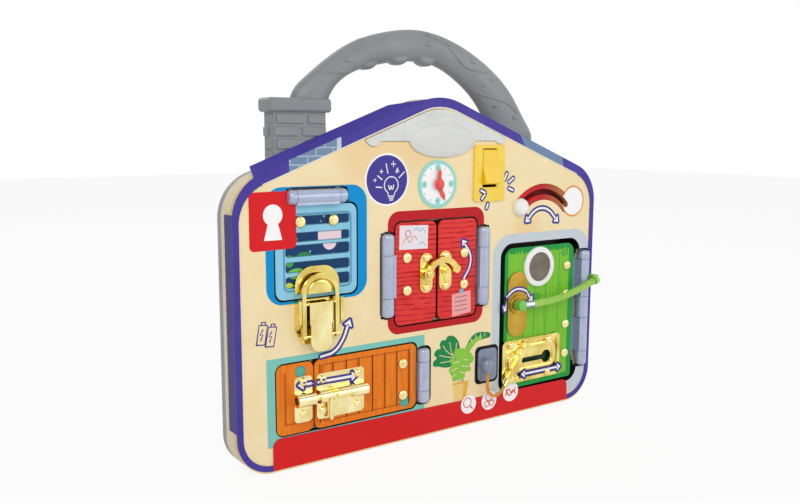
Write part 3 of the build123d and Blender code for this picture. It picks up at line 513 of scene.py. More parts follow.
def makeChainCord():
    radius = chainSettings["radius"] * 0.001
    wall, blade = cutLine(readRoute(chainSettings), chainSettings["part"])
    wallCord = joinAll("chainCord", twistedCord("chainCord", wall, radius))
    bladeCord = joinAll("chainCordEnd", twistedCord("chainCordEnd", blade, radius))
    finish = ropeFinish()
    for piece in (wallCord, bladeCord):
        piece.data.materials.append(finish)
        ownPiece(piece, replaced="chain_cord")
    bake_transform(wallCord)
    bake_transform(bladeCord)
    lengthOf(wall)


def makeKeyCord():
    line = readRoute(keyCordSettings)
    pitch = keyCordSettings["pitch"] * 0.001
    reach = keyCordSettings["coil"] * 0.001
    wire = keyCordSettings["wire"] * 0.001
    turns = round(lengthOf(line) / pitch)
    around = keyCordSettings["around"]
    easing = keyCordSettings["easing"]
    spots = walk(line, lengthOf(line) / (turns * around))
    coil = []
    for number, (spot, way) in enumerate(spots):
        side = way.cross(Vector((0, 0, 1))).normalized()
        over = side.cross(way)
        ease = min(1.0, number / easing, (len(spots) - 1 - number) / easing)
        angle = 2 * math.pi * number / around
        coil.append(spot + (side * math.cos(angle) + over * math.sin(angle)) * reach * ease)
    at = round(keyCordSettings["part"] * (len(coil) - 1))
    finish = coilFinish()
    for name, points, bodies, ends in (
            ("keyCoil", coil[:at + 1], ("key", "door"), (line[0], spots[at][0])),
            ("keyCoilEnd", coil[at:], ("door", "board"), (spots[at][0], line[-1]))):
        piece = tubeAlong(name, points, wire, 1)
        piece.data.materials.append(finish)
        ownPiece(piece, replaced="key_cord")
        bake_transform(piece)
        lengthOf(points)


def makeLead():
    line = readRoute(leadSettings)
    radius = leadSettings["radius"] * 0.001
    lead = tubeAlong("lampLead", line, radius, 2)
    lead.data.materials.append(leadFinish())
    ownPiece(lead, "board", "lamp_lead")
    place(*leadSettings["route"][0])
    lengthOf(line)


makeChainCord()
makeKeyCord()
makeLead()
print("cords laid")


# floor, light and background
studio = {
    "floorReach": 4.0,
    "floorTone": tint(250, 250, 250),
    "floorPlain": 0.9,  # share of plain white in what the camera sees of the floor
    "around": 0.46,
    "aim": (0, 0, 0.14),
    "lamps": [  # place, size, power, all in metres and watts
        ("keyLamp", (-0.75, -1.15, 1.15), 0.9, 10.0),
        ("fillLamp", (1.0, -1.1, 0.55), 1.1, 4.5),
        ("backLamp", (-0.3, 1.2, 1.1), 1.0, 4.0),
    ],
    "cardTone": tint(52, 46, 30),
    "cards": [  # dark cards that only the metal sees
        ("cardAbove", (0.1, -0.75, 1.0), (1.6, 0.5), (0.0, -0.55, -1.0)),
        ("cardRight", (0.95, -0.4, 0.25), (0.12, 0.9), (-1.0, 0.25, -0.1)),
    ],
}


def makeStage():
    bpy.context.scene.view_settings.view_transform = "Standard"
    world = bpy.data.worlds.new("studio")
    bpy.context.scene.world = world
    air = Tree(world)
    seen = air.ray("Camera").high(air.ray("Transmission")).high(air.ray("Glossy"))
    light = air.blend(seen, air.background(studio["around"]), air.background(1.0))
    air.node("ShaderNodeOutputWorld", {}, {0: light}, output=None)

    shape = bmesh.new()
    bmesh.ops.create_grid(shape, x_segments=1, y_segments=1, size=studio["floorReach"])
    paint = Paint("floorPaint")
    lit = paint.node("ShaderNodeBsdfDiffuse", {}, {"Color": studio["floorTone"]})
    plain = paint.ray("Camera").high(paint.ray("Glossy")) * studio["floorPlain"]
    makeMesh("floor", shape, paint.close(paint.blend(plain, lit, paint.glow(white))))

    for name, spot, size, power in studio["lamps"]:
        light = bpy.data.lights.new(name, "AREA")
        light.size = size
        light.energy = power
        lamp = linked(name, light)
        lamp.location = spot
        lamp.rotation_mode = "QUATERNION"
        lamp.rotation_quaternion = (Vector(studio["aim"]) - Vector(spot)).to_track_quat("-Z", "Y")

    dark = Paint("cardPaint")
    dark.close(dark.glow(studio["cardTone"]))
    for name, spot, size, facing in studio["cards"]:
        shape = bmesh.new()
        bmesh.ops.create_grid(shape, x_segments=1, y_segments=1, size=0.5)
        bmesh.ops.scale(shape, vec=(size[0], size[1], 1.0), verts=shape.verts)
        bmesh.ops.transform(shape, matrix=standing(spot, Vector(facing)), verts=shape.verts)
        card = makeMesh(name, shape, dark.material)
        card.visible_camera = False
        card.visible_diffuse = False
        card.visible_shadow = False
        card.visible_transmission = False


makeStage()
print("stage set")


# finishes for the board's wood, card and paper
roof = {"slope": 0.383, "square": 0.934}  # fall for each mm sideways, and the cosine of that angle
arcSlot = {"x": 106, "z": 147, "radius": 34.5, "half": 7.6, "foot": 165}
clockSpot = (-2.4, 191.0)


def slotTrack(paint):
    # 1 inside the arc slot
    track = abs(paint.disc(arcSlot["x"], arcSlot["z"], arcSlot["radius"])) - arcSlot["half"]
    return track.high(arcSlot["foot"] - paint.z).inside()


def bricks(paint, wide, high, gap):
    # below nought in the joints between bricks
    row = (paint.z / high).math("FLOOR")
    across = abs((paint.x + row % 2.0 * (wide / 2)) % wide - wide / 2) - (wide / 2 - gap)
    up = abs(paint.z % high - high / 2) - (high / 2 - gap)
    return -across.high(up)


wallPrint = {
    # soft darker pools in a warm tone, painted shadow: two under the raised cloud lamp and one by the arc
    # slot
    "paintedShadow": [(-62, 218, 26), (-20, 216, 16), (88, 150, 15)],
    "patches": [  # screen colour, left, right, foot, top, corner
        ((0, 146, 212), -142, -63.9, 114.7, 193.0, 12),
        ((190, 28, 36), -46.3, 43.4, 82.3, 172.6, 9.5),
        ((127, 201, 190), -143, -13, 17.8, 79, 0),
        ((201, 211, 218), 53.3, 161, 8, 149, 18),
        # the near-black boxes from here on are painted shade in the gaps round the openings and in the
        # recesses round the hinges and fittings
        ((16, 18, 22), -127.6, -78.8, 178.4, 192.4, 5),
        ((10, 14, 20), -136.2, -71.4, 116.6, 181.6, 6.2),
        ((14, 10, 12), -41.1, 37.2, 87.4, 165.5, 5.8),
        ((14, 12, 14), -53.0, -39.5, 94.4, 158.6, 6),
        ((14, 12, 14), 36.0, 49.6, 93.9, 158.7, 6),
        ((14, 18, 18), -20.9, -6.8, 25.1, 70.6, 5),
        ((14, 18, 18), -108.3, -19.6, 23.3, 75.0, 5.6),
        ((12, 14, 16), 146.5, 162.1, 28.2, 131.8, 5),
        ((14, 14, 18), 36.4, 60.4, 31.2, 61.8, 4.5)],
}


def boardFinish():
    paint = Paint("wallPrint")
    y = paint.y
    fine = paint.noise(0.05, 3.0)
    colour = paint.ramp(fine, (0.2, tint(243, 221, 170)), (0.8, tint(250, 232, 190)))
    # painted shadow pools laid over the print
    for paintedShadow in wallPrint["paintedShadow"]:
        colour = colour.over((238, 200, 140), paint.disc(*paintedShadow).inside(14) * 0.5)
    # the coloured surrounds are print; the near-black boxes are painted shade
    for shade, *patch in wallPrint["patches"]:
        colour = colour.over(shade, paint.box(*patch).inside())
    track = slotTrack(paint)
    deep = paint.ramp((paint.x - 80) / 54, (0.0, tint(214, 28, 40)), (0.45, tint(186, 34, 36)),
                      (0.8, tint(176, 98, 66)), (1.0, tint(196, 132, 92)))
    rim = paint.box(-165, 165, 0, 400, 25.5).high(paint.roof(252.7) * roof["square"]) + 8.0
    rim = (rim * 20.0).held() * (1.0 - paint.box(140, 162.8, 20, 140).inside())
    # painted shade: the cut faces inside the openings are near-black, while the slot's walls go from red to
    # brown along it
    inside = paint.mix(tint(28, 24, 26), deep, track)
    plies = (abs(y % 1.4 - 0.7) - 0.12).inside(0.1)
    bare = paint.mix(tint(222, 192, 142), tint(186, 148, 96), plies * 0.7)
    colour = paint.mix(colour, paint.mix(inside, bare, rim), (y - 0.08).past())
    return paint.printed(colour, paint.noise(1.2, 4.0, 0.6), 0.40, 0.012, 0.16)


def cardFinish():
    paint = Paint("purpleCard")
    x, y = paint.x, paint.y
    colour = paint.between(paint.noise(0.06, 2.0), (68, 58, 150), (76, 66, 158))
    front = (0.25 - y).past()
    lip = paint.roof(249.7)
    # painted shade: the card's side faces are a darker purple than its front
    side = (abs(x) - 163.6).past(4.0) * (1.0 - front)
    colour = colour.over((58, 50, 122), side)
    wall = paint.mix(tint(118, 142, 172), tint(178, 194, 210), bricks(paint, 13.0, 5.6, 0.35).inside(0.2))
    wall = wall.over((196, 210, 224), paint.box(-88, -84, 200, 240).inside())
    leftWall = paint.box(-124.3, -84.6, 190, 240).high(-lip).inside() * front
    colour = paint.mix(colour, wall, leftWall)
    rightWall = paint.side(84.4, 217.6, 78.8, 227.0).high(paint.side(125.9, 209.2, 127.4, 201.0)).high(-lip)
    colour = colour.over((112, 138, 168), rightWall.inside() * (x * 10).held() * front)
    near = ((15.7 - abs(x)) * 40.0).held()
    rim = abs(lip * roof["square"] * (1.0 - near) + paint.disc(0, 202.6, 44.0) * near - 0.1)
    rim = (rim - 0.4).high(abs(x) - 143.4).inside()
    colour = colour.over((244, 240, 236), rim * front)
    band = paint.box(-139.2, 139.2, -3, 60, 0).high(paint.side(-139.2, 23.4, 139.2, 19.6))
    colour = colour.over((218, 33, 35), band.inside() * front)
    return paint.printed(colour, paint.noise(1.6, 3.0, 0.6), 0.36, 0.01, 0.16)


def rawWoodFinish():
    paint = Paint("rawWood")
    grain = paint.noise(0.5, 5.0, 0.6, paint.stretched(0.08, 1.0, 1.0))
    rings = (paint.y * 2.2 + grain * 5.0).math("SINE") * 0.5 + 0.5
    colour = paint.mix(paint.between(grain, (222, 208, 170), (240, 230, 200)),
                       tint(206, 188, 146), rings * 0.22)
    # painted shade: the core is near-black wherever it shows through the openings
    holes = paint.boxes(((-134, -73.5, 118.5, 182), (-40, 36, 89.5, 164), (-106, -21.5, 25.5, 73),
                         (60, 151.5, 12.5, 142.8), (-136.5, -108, 24, 74)))
    colour = colour.over((24, 20, 22), holes.inside())
    track = slotTrack(paint)
    colour = colour.over((150, 44, 40), track * (12 - paint.y).held())
    return paint.finish(colour, 0.62 + grain * 0.15, bump=grain + rings * 0.4, depth=0.08, specular=0.3)


def greyBackFinish():
    paint = Paint("greyBack")
    fleck = paint.noise(2.5, 4.0, 0.65)
    cloud = paint.noise(0.03, 2.0)
    colour = paint.between(fleck * 0.4 + cloud * 0.6, (142, 142, 146), (168, 168, 172))
    return paint.finish(colour, 0.5 + fleck * 0.15, bump=fleck, depth=0.03, specular=0.35)


def scenePrintFinish():
    # what is found behind each door: plain rooms, shapes and stars
    paint = Paint("hiddenPrint")
    colour = paint.between(paint.noise(0.05, 2.0), (244, 226, 186), (250, 236, 206))
    night = paint.mix(tint(24, 52, 120), tint(60, 96, 176), ((paint.z - 120) / 60).held())
    dots = paint.cells(0.16).math("MULTIPLY", 6.0)
    night = night.over((250, 240, 190), (dots - 0.7).inside(0.4))
    night = night.over((252, 226, 120), paint.disc(-100, 160, 11).inside())
    night = night.over((60, 150, 90), paint.disc(-112, 112, 26).low(paint.disc(-88, 104, 30)).inside())
    colour = paint.mix(colour, night, paint.box(-136, -71, 116, 184).inside())
    room = paint.mix(tint(252, 222, 160), tint(246, 202, 130), (paint.x % 9.0 - 4.5).inside(0.4))
    room = room.over((176, 112, 66), paint.box(-60, 60, 80, 104).inside())
    room = room.over((120, 190, 220), paint.box(-24, 2, 122, 150, 3).inside())
    room = room.over((232, 96, 84), paint.box(10, 30, 104, 128, 4).inside())
    colour = paint.mix(colour, room, paint.box(-42, 38, 86, 168).inside())
    shelf = paint.mix(tint(232, 244, 240), tint(150, 100, 60), (abs(paint.z - 49) - 1.6).inside())
    for number, shade in enumerate(((226, 74, 60), (60, 140, 200), (240, 190, 60), (110, 180, 90),
                                    (150, 110, 190))):
        x = 14 * number - 94
        shelf = shelf.over(shade, paint.box(x - 4, x + 4, 50.6, 60 + number % 3 * 3, 1.5).inside())
        shelf = shelf.over(shade, paint.disc(x + 6, 34 + number % 2 * 3, 4.2).inside())
    colour = paint.mix(colour, shelf, paint.box(-110, -18, 22, 77).inside())
    hall = paint.mix(tint(250, 236, 190), tint(226, 196, 140), (paint.x % 14.0 - 7.0).inside(0.5))
    hall = hall.over((168, 110, 70), paint.box(60, 152, 8, 40).inside())
    hall = hall.over((94, 160, 150), paint.box(84, 130, 28, 46, 9).inside())
    hall = hall.over((226, 120, 70), paint.disc(106, 104, 15).inside())
    hall = hall.over((252, 230, 150), paint.disc(106, 104, 9).inside())
    colour = paint.mix(colour, hall, paint.box(58, 153, 12, 146).inside())
    # painted shade: near-black everywhere outside the parts that show through the openings
    clear = paint.boxes(((-132, -75.6, 121, 178), (-37.2, -5.6, 93, 160), (2.2, 32, 93, 160),
                         (-101, -26, 30, 68.4), (68.4, 141, 24.4, 135)), 4)
    colour = paint.mix(tint(22, 20, 24), colour, clear.inside(0.4))
    fibre = paint.noise(1.4, 3.0)
    return paint.finish(colour, 0.4 + fibre * 0.1, bump=fibre, depth=0.01)


def mouldedFinish(name, deep, light, clouds, fine, rough, vary, depth, **more):
    # two shades in soft clouds, with a fine noise in the roughness and the bump
    paint = Paint(name)
    grain = paint.noise(*fine)
    colour = paint.between(paint.noise(*clouds), deep, light)
    return paint.finish(colour, rough + grain * vary, bump=grain, depth=depth, **more)


def handleFinish():
    return mouldedFinish("greyMoulded", (128, 130, 134), (140, 142, 146), (0.04, 3.0), (3.5, 3.0, 0.7),
                         0.34, 0.16, 0.03)


def makeWood():
    dress(boardFinish(), "front_panel")
    dress(cardFinish(), "card_sleeve")
    dress(rawWoodFinish(), "wood_core")
    dress(greyBackFinish(), "back_panel")
    dress(scenePrintFinish(), "scene_board")
    dress(handleFinish(), "handle_front", "handle_back")


makeWood()
print("board, card and handle finished")


# doors
windowPrint = {
    "leaves": [  # x, z, half width, half height, screen colour
        (-123.0, 158.2, 5.0, 2.4, (58, 158, 72)), (-113.0, 146.0, 6.0, 3.0, (46, 140, 66)),
        (-124.5, 143.5, 3.4, 4.0, (66, 168, 70)), (-119.0, 134.8, 7.0, 3.6, (120, 196, 74)),
        (-108.0, 135.4, 4.4, 4.0, (46, 150, 66)), (-125.0, 124.5, 4.0, 4.6, (200, 220, 60)),
        (-116.0, 124.0, 3.0, 4.4, (60, 160, 66))],
    "panes": [(167.2, 173.5), (156.1, 162.4), (146.3, 154.0), (135.8, 142.8), (125.2, 133.0)],
}


def windowFinish():
    paint = Paint("windowPrint")
    colour = paint.between(paint.noise(0.08, 2.0), (136, 200, 225), (146, 208, 231))
    # painted shade: a darker blue ring round the frame of the panes
    frameShade = abs(paint.box(-128.8, -77.2, 123.4, 174.6, 3.4)) - 0.7
    colour = colour.over((92, 152, 184), frameShade.inside(0.3))
    sky = paint.mix(tint(8, 48, 92), tint(16, 66, 116), paint.noise(0.05, 2.0))
    stars = paint.cells(0.13).math("MULTIPLY", 7.7)
    sky = sky.over((190, 226, 240), (stars - 0.55).inside(0.4))
    sky = sky.over((236, 214, 222), paint.box(-102.6, -84.4, 155.0, 163.0,
                                              1.5).low(paint.disc(-93.6, 154.6, 5.4)).inside())
    for x, z, wide, high, shade in windowPrint["leaves"]:
        dx, dz = (paint.x - x) / wide, (paint.z - z) / high
        leaf = distance(dx, dz) - 1.0
        rib = abs(dz - dx * 0.4) - 0.12
        sky = sky.over(shade, leaf.high(-rib).inside(0.12))
    panes = paint.boxes([(-127.6, -78.4, *pane) for pane in windowPrint["panes"]], 2.0)
    colour = paint.mix(colour, sky, panes.inside())
    colour = colour.over((70, 128, 160), (abs(panes + 0.1) - 0.35).inside(0.3) * 0.7)
    # painted shade: the flap's sides and back are near-black
    colour = colour.over((36, 40, 46), (paint.y - 0.9).past())
    return paint.printed(colour, paint.noise(1.3, 3.0), 0.32, 0.012)


def redFinish():
    paint = Paint("redPrint")
    waver = paint.noise(0.025, 1.0, 0.4, paint.stretched(0.7, 1, 1)) * 9.0 + paint.noise(0.12, 1.0) * 0.6
    up = paint.z + waver + paint.x * 0.03
    thick = paint.noise(0.08, 1.0, 0.5, paint.stretched(1, 1, 3)) * 1.5 - 0.44
    lines = (abs(up % 3.5 - 1.75) - thick.high(0.0)).inside(0.22)
    thin = (abs((up * 1.31 + 1.1) % 4.4 - 2.2) - (thick - 0.2).high(0.0) * 0.7).inside(0.22)
    colour = paint.between(paint.noise(0.07, 2.0), (222, 48, 48), (236, 62, 56))
    colour = colour.over((172, 22, 32), lines.high(thin))
    # painted shade: the shutters' sides and backs are a dark red
    colour = colour.over((92, 22, 24), (paint.y - 0.1).past())
    return paint.printed(colour, paint.noise(1.3, 3.0), 0.34, 0.012)


cabinetPrint = {
    "grooves": [-102.5, -92.2, -81.3, -70.9, -59.4, -48.6, -38.0, -27.2],
    "shadow": 3.2,  # how far a groove's shade reaches to its left
    "knobs": [(-117.8, 67.4), (-31.2, 30.3)],
}


def orangeFinish():
    paint = Paint("orangePrint")
    grain = paint.noise(0.35, 4.0, 0.6, paint.stretched(1.0, 1.0, 0.12))
    streak = paint.noise(0.09, 2.0, 0.5, paint.stretched(1.6, 1.0, 0.3))
    colour = paint.ramp(grain, (0.3, tint(222, 112, 22)), (0.5, tint(236, 126, 24)),
                        (0.75, tint(243, 144, 40)))
    colour = colour.over((196, 92, 26), (abs(streak - 0.5) - 0.008).inside(0.02) * 0.22)
    shadow = cabinetPrint["shadow"]
    door = paint.box(-104.0, -26.0, 28.6, 69.9, 0.6)
    for line in cabinetPrint["grooves"]:
        near = (paint.x - line).high(line - shadow - paint.x).high(door)
        shade = near.inside(0.2) * ((paint.x - line + shadow) / shadow).held() * 0.55
        colour = colour.over((196, 90, 20), shade)
        colour = colour.over((112, 50, 18), (abs(paint.x - line) - 0.42).high(door).inside(0.2))
    frame = abs(paint.box(-100.5, -26.5, 29.0, 69.5, 2.0)) - 0.5
    colour = colour.over((190, 88, 22), frame.inside(0.3) * (paint.x + 104).held())
    stile = paint.box(-130.5, -128.5, 31.0, 68.0).low(paint.box(-130.5, -108, 31.0, 32.2))
    colour = colour.over((178, 84, 24), stile.inside(0.3) * 0.8)
    # painted shadow: a soft darker disc below and to the right of the bolt keeper
    colour = colour.over((170, 70, 24), paint.disc(-112, 40, 12).inside(12) * 0.45)
    for x, z in cabinetPrint["knobs"]:
        colour = colour.over((84, 176, 160), paint.disc(x, z, 4.0).inside())
        colour = colour.over((54, 140, 128), (abs(paint.disc(x, z, 3.7)) - 0.3).inside())
    # painted shade: the sides and back are a dark brown
    colour = colour.over((96, 46, 16), (paint.y - 0.1).past())
    return paint.printed(colour, grain, 0.34, 0.015)


doorPrint = {
    "seams": [(86.6, 0.8), (98.6, 0.6), (111.4, 0.4), (126.2, 0.2)],  # x at 30 mm up, lean over 100 mm
    "knots": [(101.6, 95.8, 4.2, 2.6), (120.2, 61.0, 4.0, 2.4), (132.4, 129.6, 4.2, 2.8)],
}


def greenFinish():
    paint = Paint("greenPrint")
    x, z = paint.x, paint.z
    grain = paint.noise(0.35, 4.0, 0.6, paint.stretched(1.0, 1.0, 0.1))
    colour = paint.between(grain, (24, 146, 58), (34, 158, 66))
    planks = paint.ramp(grain, (0.3, tint(112, 186, 44)), (0.5, tint(122, 194, 48)),
                        (0.75, tint(134, 204, 60)))
    jag = paint.noise(0.35, 1.0, 0.5, paint.stretched(1, 0, 0)) * 9.0
    jagLow = paint.noise(0.28, 1.0, 0.5, paint.stretched(1, 0, 0)) * 9.0
    field = paint.box(69.6, 137.6, 20, 150).high(z + jag - 137.5).high(26.0 - z + jagLow - 4.5)
    colour = paint.mix(colour, planks, field.inside(0.2))
    for foot, lean in doorPrint["seams"]:
        line = abs(x - (foot + (z - 30) * (lean / 100))) - 0.34
        colour = colour.over((40, 150, 56), line.high(field).inside(0.3))
    for cx, cz, wide, high in doorPrint["knots"]:
        ring = distance((x - cx) / wide, (z - cz) / high)
        colour = colour.over((40, 150, 60), (abs(ring - 0.82) - 0.16).inside(0.1))
        colour = colour.over((58, 164, 62), (ring - 0.34).inside(0.1))
    colour = colour.over((16, 84, 50), paint.box(95.0, 123.0, 38.4, 49.8, 3).inside())
    # painted shade: the door's sides and back are a dark green
    colour = colour.over((18, 50, 26), (paint.y - 0.1).past())
    return paint.printed(colour, grain, 0.34, 0.015)


# metal and moulded plastic
def brassFinish(name="brassPale", rough=0.1, light=(252, 242, 186), deep=(232, 208, 138), scratch=0.002):
    paint = Paint(name)
    fine = paint.noise(0.7, 3.0, 0.5, paint.stretched(1.0, 1.0, 0.15))
    colour = paint.between(paint.noise(0.07, 2.0), deep, light)
    return paint.finish(colour, rough + fine * 0.05, metal=1.0, bump=fine, depth=scratch)


def steelFinish():
    paint = Paint("zincSteel")
    streak = paint.noise(1.2, 3.0, 0.6)
    colour = paint.between(streak, (160, 162, 168), (196, 198, 204))
    return paint.finish(colour, 0.25 + streak * 0.15, metal=1.0, bump=streak, depth=0.02)


def hingeFinish():
    return mouldedFinish("hingeLacquer", (164, 176, 204), (180, 190, 216), (0.1, 2.0), (3.0, 3.0, 0.6),
                         0.2, 0.08, 0.006, metal=0.3, coat=0.6, coatRough=0.06)


def plasticFinish(name, light, deep, rough=0.22, coat=0.25, **more):
    return mouldedFinish(name, deep, light, (0.06, 2.0), (3.2, 3.0, 0.6), rough, 0.12, 0.01,
                         coat=coat, coatRough=0.12, **more)


def cloudFinish():
    paint = Paint("cloudMilk")
    fine = paint.noise(2.6, 3.0, 0.6)
    colour = paint.between(paint.noise(0.05, 2.0), (212, 213, 210), (222, 223, 220))
    dome = paint.box(-34, 38, 210, 241, 12)
    colour = colour.over((196, 197, 195), (abs(dome) - 0.5).high(222.6 - paint.z).inside(1.0) * 0.4)
    return paint.finish(colour, 0.34 + fine * 0.1, bump=fine, depth=0.01,
                        **{"Subsurface Weight": 0.2, "Subsurface Scale": 0.004})


def clockFinish():
    paint = Paint("clockPrint")
    cx, cz = clockSpot
    mark = 12.4  # from the middle to the four round marks
    turn = paint.disc(cx, cz, 0.0)
    colour = paint.mix(tint(240, 241, 240), tint(249, 249, 248), paint.noise(0.3, 2.0))
    colour = colour.over((143, 211, 201), (14.9 - turn).inside())
    angle = (paint.x - cx).math("ARCTAN2", paint.z - cz)
    hour = math.pi / 6
    tick = abs(angle % hour - hour / 2) - (hour / 2 - 0.022)
    ticks = (-tick).inside(0.02) * (mark - turn).inside() * (turn - 14.2).inside()
    colour = colour.over((96, 176, 170), ticks)
    for x, z in ((cx, cz + mark), (cx + mark, cz), (cx, cz - mark), (cx - mark, cz)):
        colour = colour.over((143, 211, 201), paint.disc(x, z, 2.6).inside())
        colour = colour.over((70, 160, 150), paint.box(x - 0.3, x + 0.3, z - 1.2, z + 1.2).inside())
    cap = (-1.6 - paint.y).past(10.0) * (turn - 5.0).inside()
    colour = colour.over((228, 56, 46), cap)
    return paint.finish(colour, 0.25 + paint.noise(2.0, 2.0) * 0.08, bump=paint.noise(3.0, 2.0), depth=0.008,
                        coat=0.3, coatRough=0.1)


def circuitFinish():
    paint = Paint("circuitBoard")
    lines = abs(paint.z % 3.0 - 1.5) - 0.3
    colour = paint.mix(tint(24, 88, 48), tint(46, 124, 70), lines.inside(0.2))
    colour = colour.over((240, 236, 214), (9.0 - paint.y).past())
    return paint.finish(colour, 0.35 + paint.noise(2.0, 2.0) * 0.1, coat=0.3)


def mirrorFinish():
    paint = Paint("mirrorFilm")
    colour = paint.between(paint.noise(0.08, 2.0), (112, 104, 92), (132, 124, 112))
    return paint.finish(colour, 0.06 + paint.noise(0.4, 3.0) * 0.05, metal=1.0,
                        bump=paint.noise(0.1, 2.0), depth=0.03)


def keyFinish():
    paint = Paint("keyGreen")
    fine = paint.noise(3.0, 3.0, 0.6)
    colour = paint.between(paint.noise(0.2, 2.0), (104, 190, 62), (128, 208, 84))
    ring = (paint.x - 81.4).past(8.0)
    # painted reflection: the metal ring is dark at its foot, bright in the middle and darker at its top
    shineBands = paint.ramp(((paint.z - 88.0) / 7.0).held(), (0.0, tint(70, 84, 108)), (0.35, tint(150, 166, 190)),
                       (0.6, tint(226, 232, 240)), (1.0, tint(120, 134, 158)))
    colour = paint.mix(colour, shineBands, ring)
    return paint.finish(colour, 0.2 + fine * 0.1, metal=ring * 0.85, bump=fine, depth=0.01, coat=0.2)


def makeFinishes():
    dress(windowFinish(), "window_flap")
    dress(redFinish(), "left_shutter", "right_shutter")
    dress(orangeFinish(), "cabinet_door", "cabinet_block")
    dress(greenFinish(), "green_door")
    dress(brassFinish(), "window_rivets", "left_fasteners", "right_fasteners", "cabinet_fasteners",
          "green_fasteners", "latch_lever", "bolt_keeper", "bolt_plate", "bolt_rod", "board_screws")
    dress(brassFinish("brassGold", 0.11, (246, 230, 146), (212, 184, 92)), "latch_catch", "latch_base",
          "latch_loop", "hook_plate", "post_plate", "chain_plate", "chain_slider")
    dress(brassFinish("brassArm", 0.15, (246, 228, 144), (216, 186, 96)), "hook_arm")
    dress(brassFinish("lockBrass", 0.36, (196, 160, 66), (168, 132, 46), 0.01), "lock_plate", "lock_cylinder")
    dress(hingeFinish(), "hinge_bases", "window_hinge_leaf", "left_hinge_leaf", "right_hinge_leaf",
          "cabinet_hinge_leaf", "green_hinge_leaf")
    dress(steelFinish(), "hinge_pins", "case_screws", "battery_contacts")
    dress(plasticFinish("blackMoulded", (34, 35, 38), (24, 25, 28), 0.4, 0.05), "battery_box",
          "battery_cover")
    dress(cloudFinish(), "lamp_diffuser")
    dress(circuitFinish(), "lamp_board")
    dress(plasticFinish("yellowGloss", (248, 214, 34), (240, 200, 24)), "switch_plate")
    dress(plasticFinish("rockerYellow", (250, 208, 26), (244, 198, 16)), "rocker")
    dress(clockFinish(), "clock_face")
    dress(plasticFinish("redGloss", (236, 66, 52), (226, 54, 42)), "hour_hand", "minute_hand")
    dress(plasticFinish("whiteGloss", (246, 246, 244), (238, 238, 236)), "slider_knob", "porthole_ring")
    dress(mirrorFinish(), "porthole_mirror")
    dress(keyFinish(), "door_key")
    dress(plasticFinish("pegGreen", (150, 214, 78), (128, 196, 60)), "key_cord_peg")
    dress(plasticFinish("blueLacquer", (140, 150, 172), (118, 128, 150), 0.28, 0.2, metal=0.2), "cord_anchor")


makeFinishes()
print("doors, metal and plastic finished")


# printed and stuck-on graphics: thin flat pieces, each a little in front of the one below it
inkShades = {
    "white": (252, 252, 252), "purple": (72, 62, 150), "red": (222, 32, 38), "darkGreen": (31, 138, 76),
    "leafGreen": (140, 203, 74), "stem": (84, 150, 70), "pot": (242, 208, 131),
    "potShade": (236, 180, 74), "orange": (240, 146, 50), "paper": (236, 232, 240), "pink": (244, 168, 166),
    "pin": (120, 196, 220), "pencil": (96, 90, 140), "cream": (244, 226, 182), "skyBlue": (120, 190, 225),
}
inkDepth = 0.02  # how far a drawn line stands up, mm
endHead = ((-1, -2),)  # which point of a line is an arrow's tip, and which is next to it
bothHeads = ((-1, -2), (0, 1))
inks = {}


def ink(name):
    if name not in inks:
        paint = Paint("ink" + name[0].upper() + name[1:])
        fibre = paint.noise(1.5, 3.0, 0.6)
        shade = inkShades[name]
        low = tuple(max(0, part - 5) for part in shade)
        high = tuple(min(255, part + 3) for part in shade)
        colour = paint.between(fibre, low, high)
        inks[name] = paint.printed(colour, fibre, 0.4, 0.008, 0.16)
    return inks[name]


def layDown(shape, name, shade, body, front):
    # a flat shape drawn in x and z, turned upright and put at its depth
    for vertex in shape.verts:
        across, up, out = vertex.co
        vertex.co = place(across, front - out, up)
    bmesh.ops.recalc_face_normals(shape, faces=shape.faces)
    flat = [face for face in shape.faces if face.normal.y > 0.5]
    if len(flat) > len(shape.faces) / 2:
        bmesh.ops.reverse_faces(shape, faces=shape.faces)
    return ownPiece(makeMesh(name, shape, ink(shade)), body)


def outline(name, loops, shade, body="board", front=-0.03, smooth=False):
    # filled outline; loops inside others are holes
    kind = "BEZIER" if smooth else "POLY"
    shape = drawnShape(makeCurve(name, loops, kind, steps=8, flat=True, closed=True))
    bmesh.ops.remove_doubles(shape, verts=shape.verts, dist=0.0005)
    return layDown(shape, name, shade, body, front)


def dots(name, spots, shade, body="board", front=-0.03, slot=None, ring=0.0):
    # discs, or rings where ring is how wide their line is
    shape = bmesh.new()
    for x, z, radius in spots:
        turned = bmesh.ops.create_circle(shape, cap_ends=ring == 0.0, segments=48, radius=radius)["verts"]
        if ring:
            edges = list({edge for vertex in turned for edge in vertex.link_edges})
            inner = bmesh.ops.extrude_edge_only(shape, edges=edges)["geom"]
            inner = [part for part in inner if isinstance(part, bmesh.types.BMVert)]
            bmesh.ops.scale(shape, vec=((radius - ring) / radius,) * 3, verts=inner)
            turned = turned + inner
        bmesh.ops.translate(shape, vec=(x, z, 0), verts=turned)
    return layDown(shape, name, shade, body, front)


def stroke(name, lines, half, shade, body="board", front=-0.03, smooth=True, squared=False):
    # drawn lines: round tubes pressed flat
    shape = drawnShape(makeCurve(name, lines, "BEZIER" if smooth else "POLY", half, 1, 10))
    bmesh.ops.scale(shape, vec=(1, 1, inkDepth / half), verts=shape.verts)
    ends = [] if squared else [end for line in lines for end in (line[0], line[-1])]
    for x, z in ends:
        cap = bmesh.ops.create_circle(shape, cap_ends=True, segments=20, radius=half)["verts"]
        bmesh.ops.translate(shape, vec=(x, z, inkDepth), verts=cap)
    return layDown(shape, name, shade, body, front)


arrowSettings = {
    "wide": 0.78,  # half the width of a head, in its lengths
    "spread": 0.75,  # how far the edge's cut corners lie apart
    "line": 0.06,  # how far each layer lies in front of the line's edge, mm
    "headEdge": 0.03,
    "head": 0.08,
}


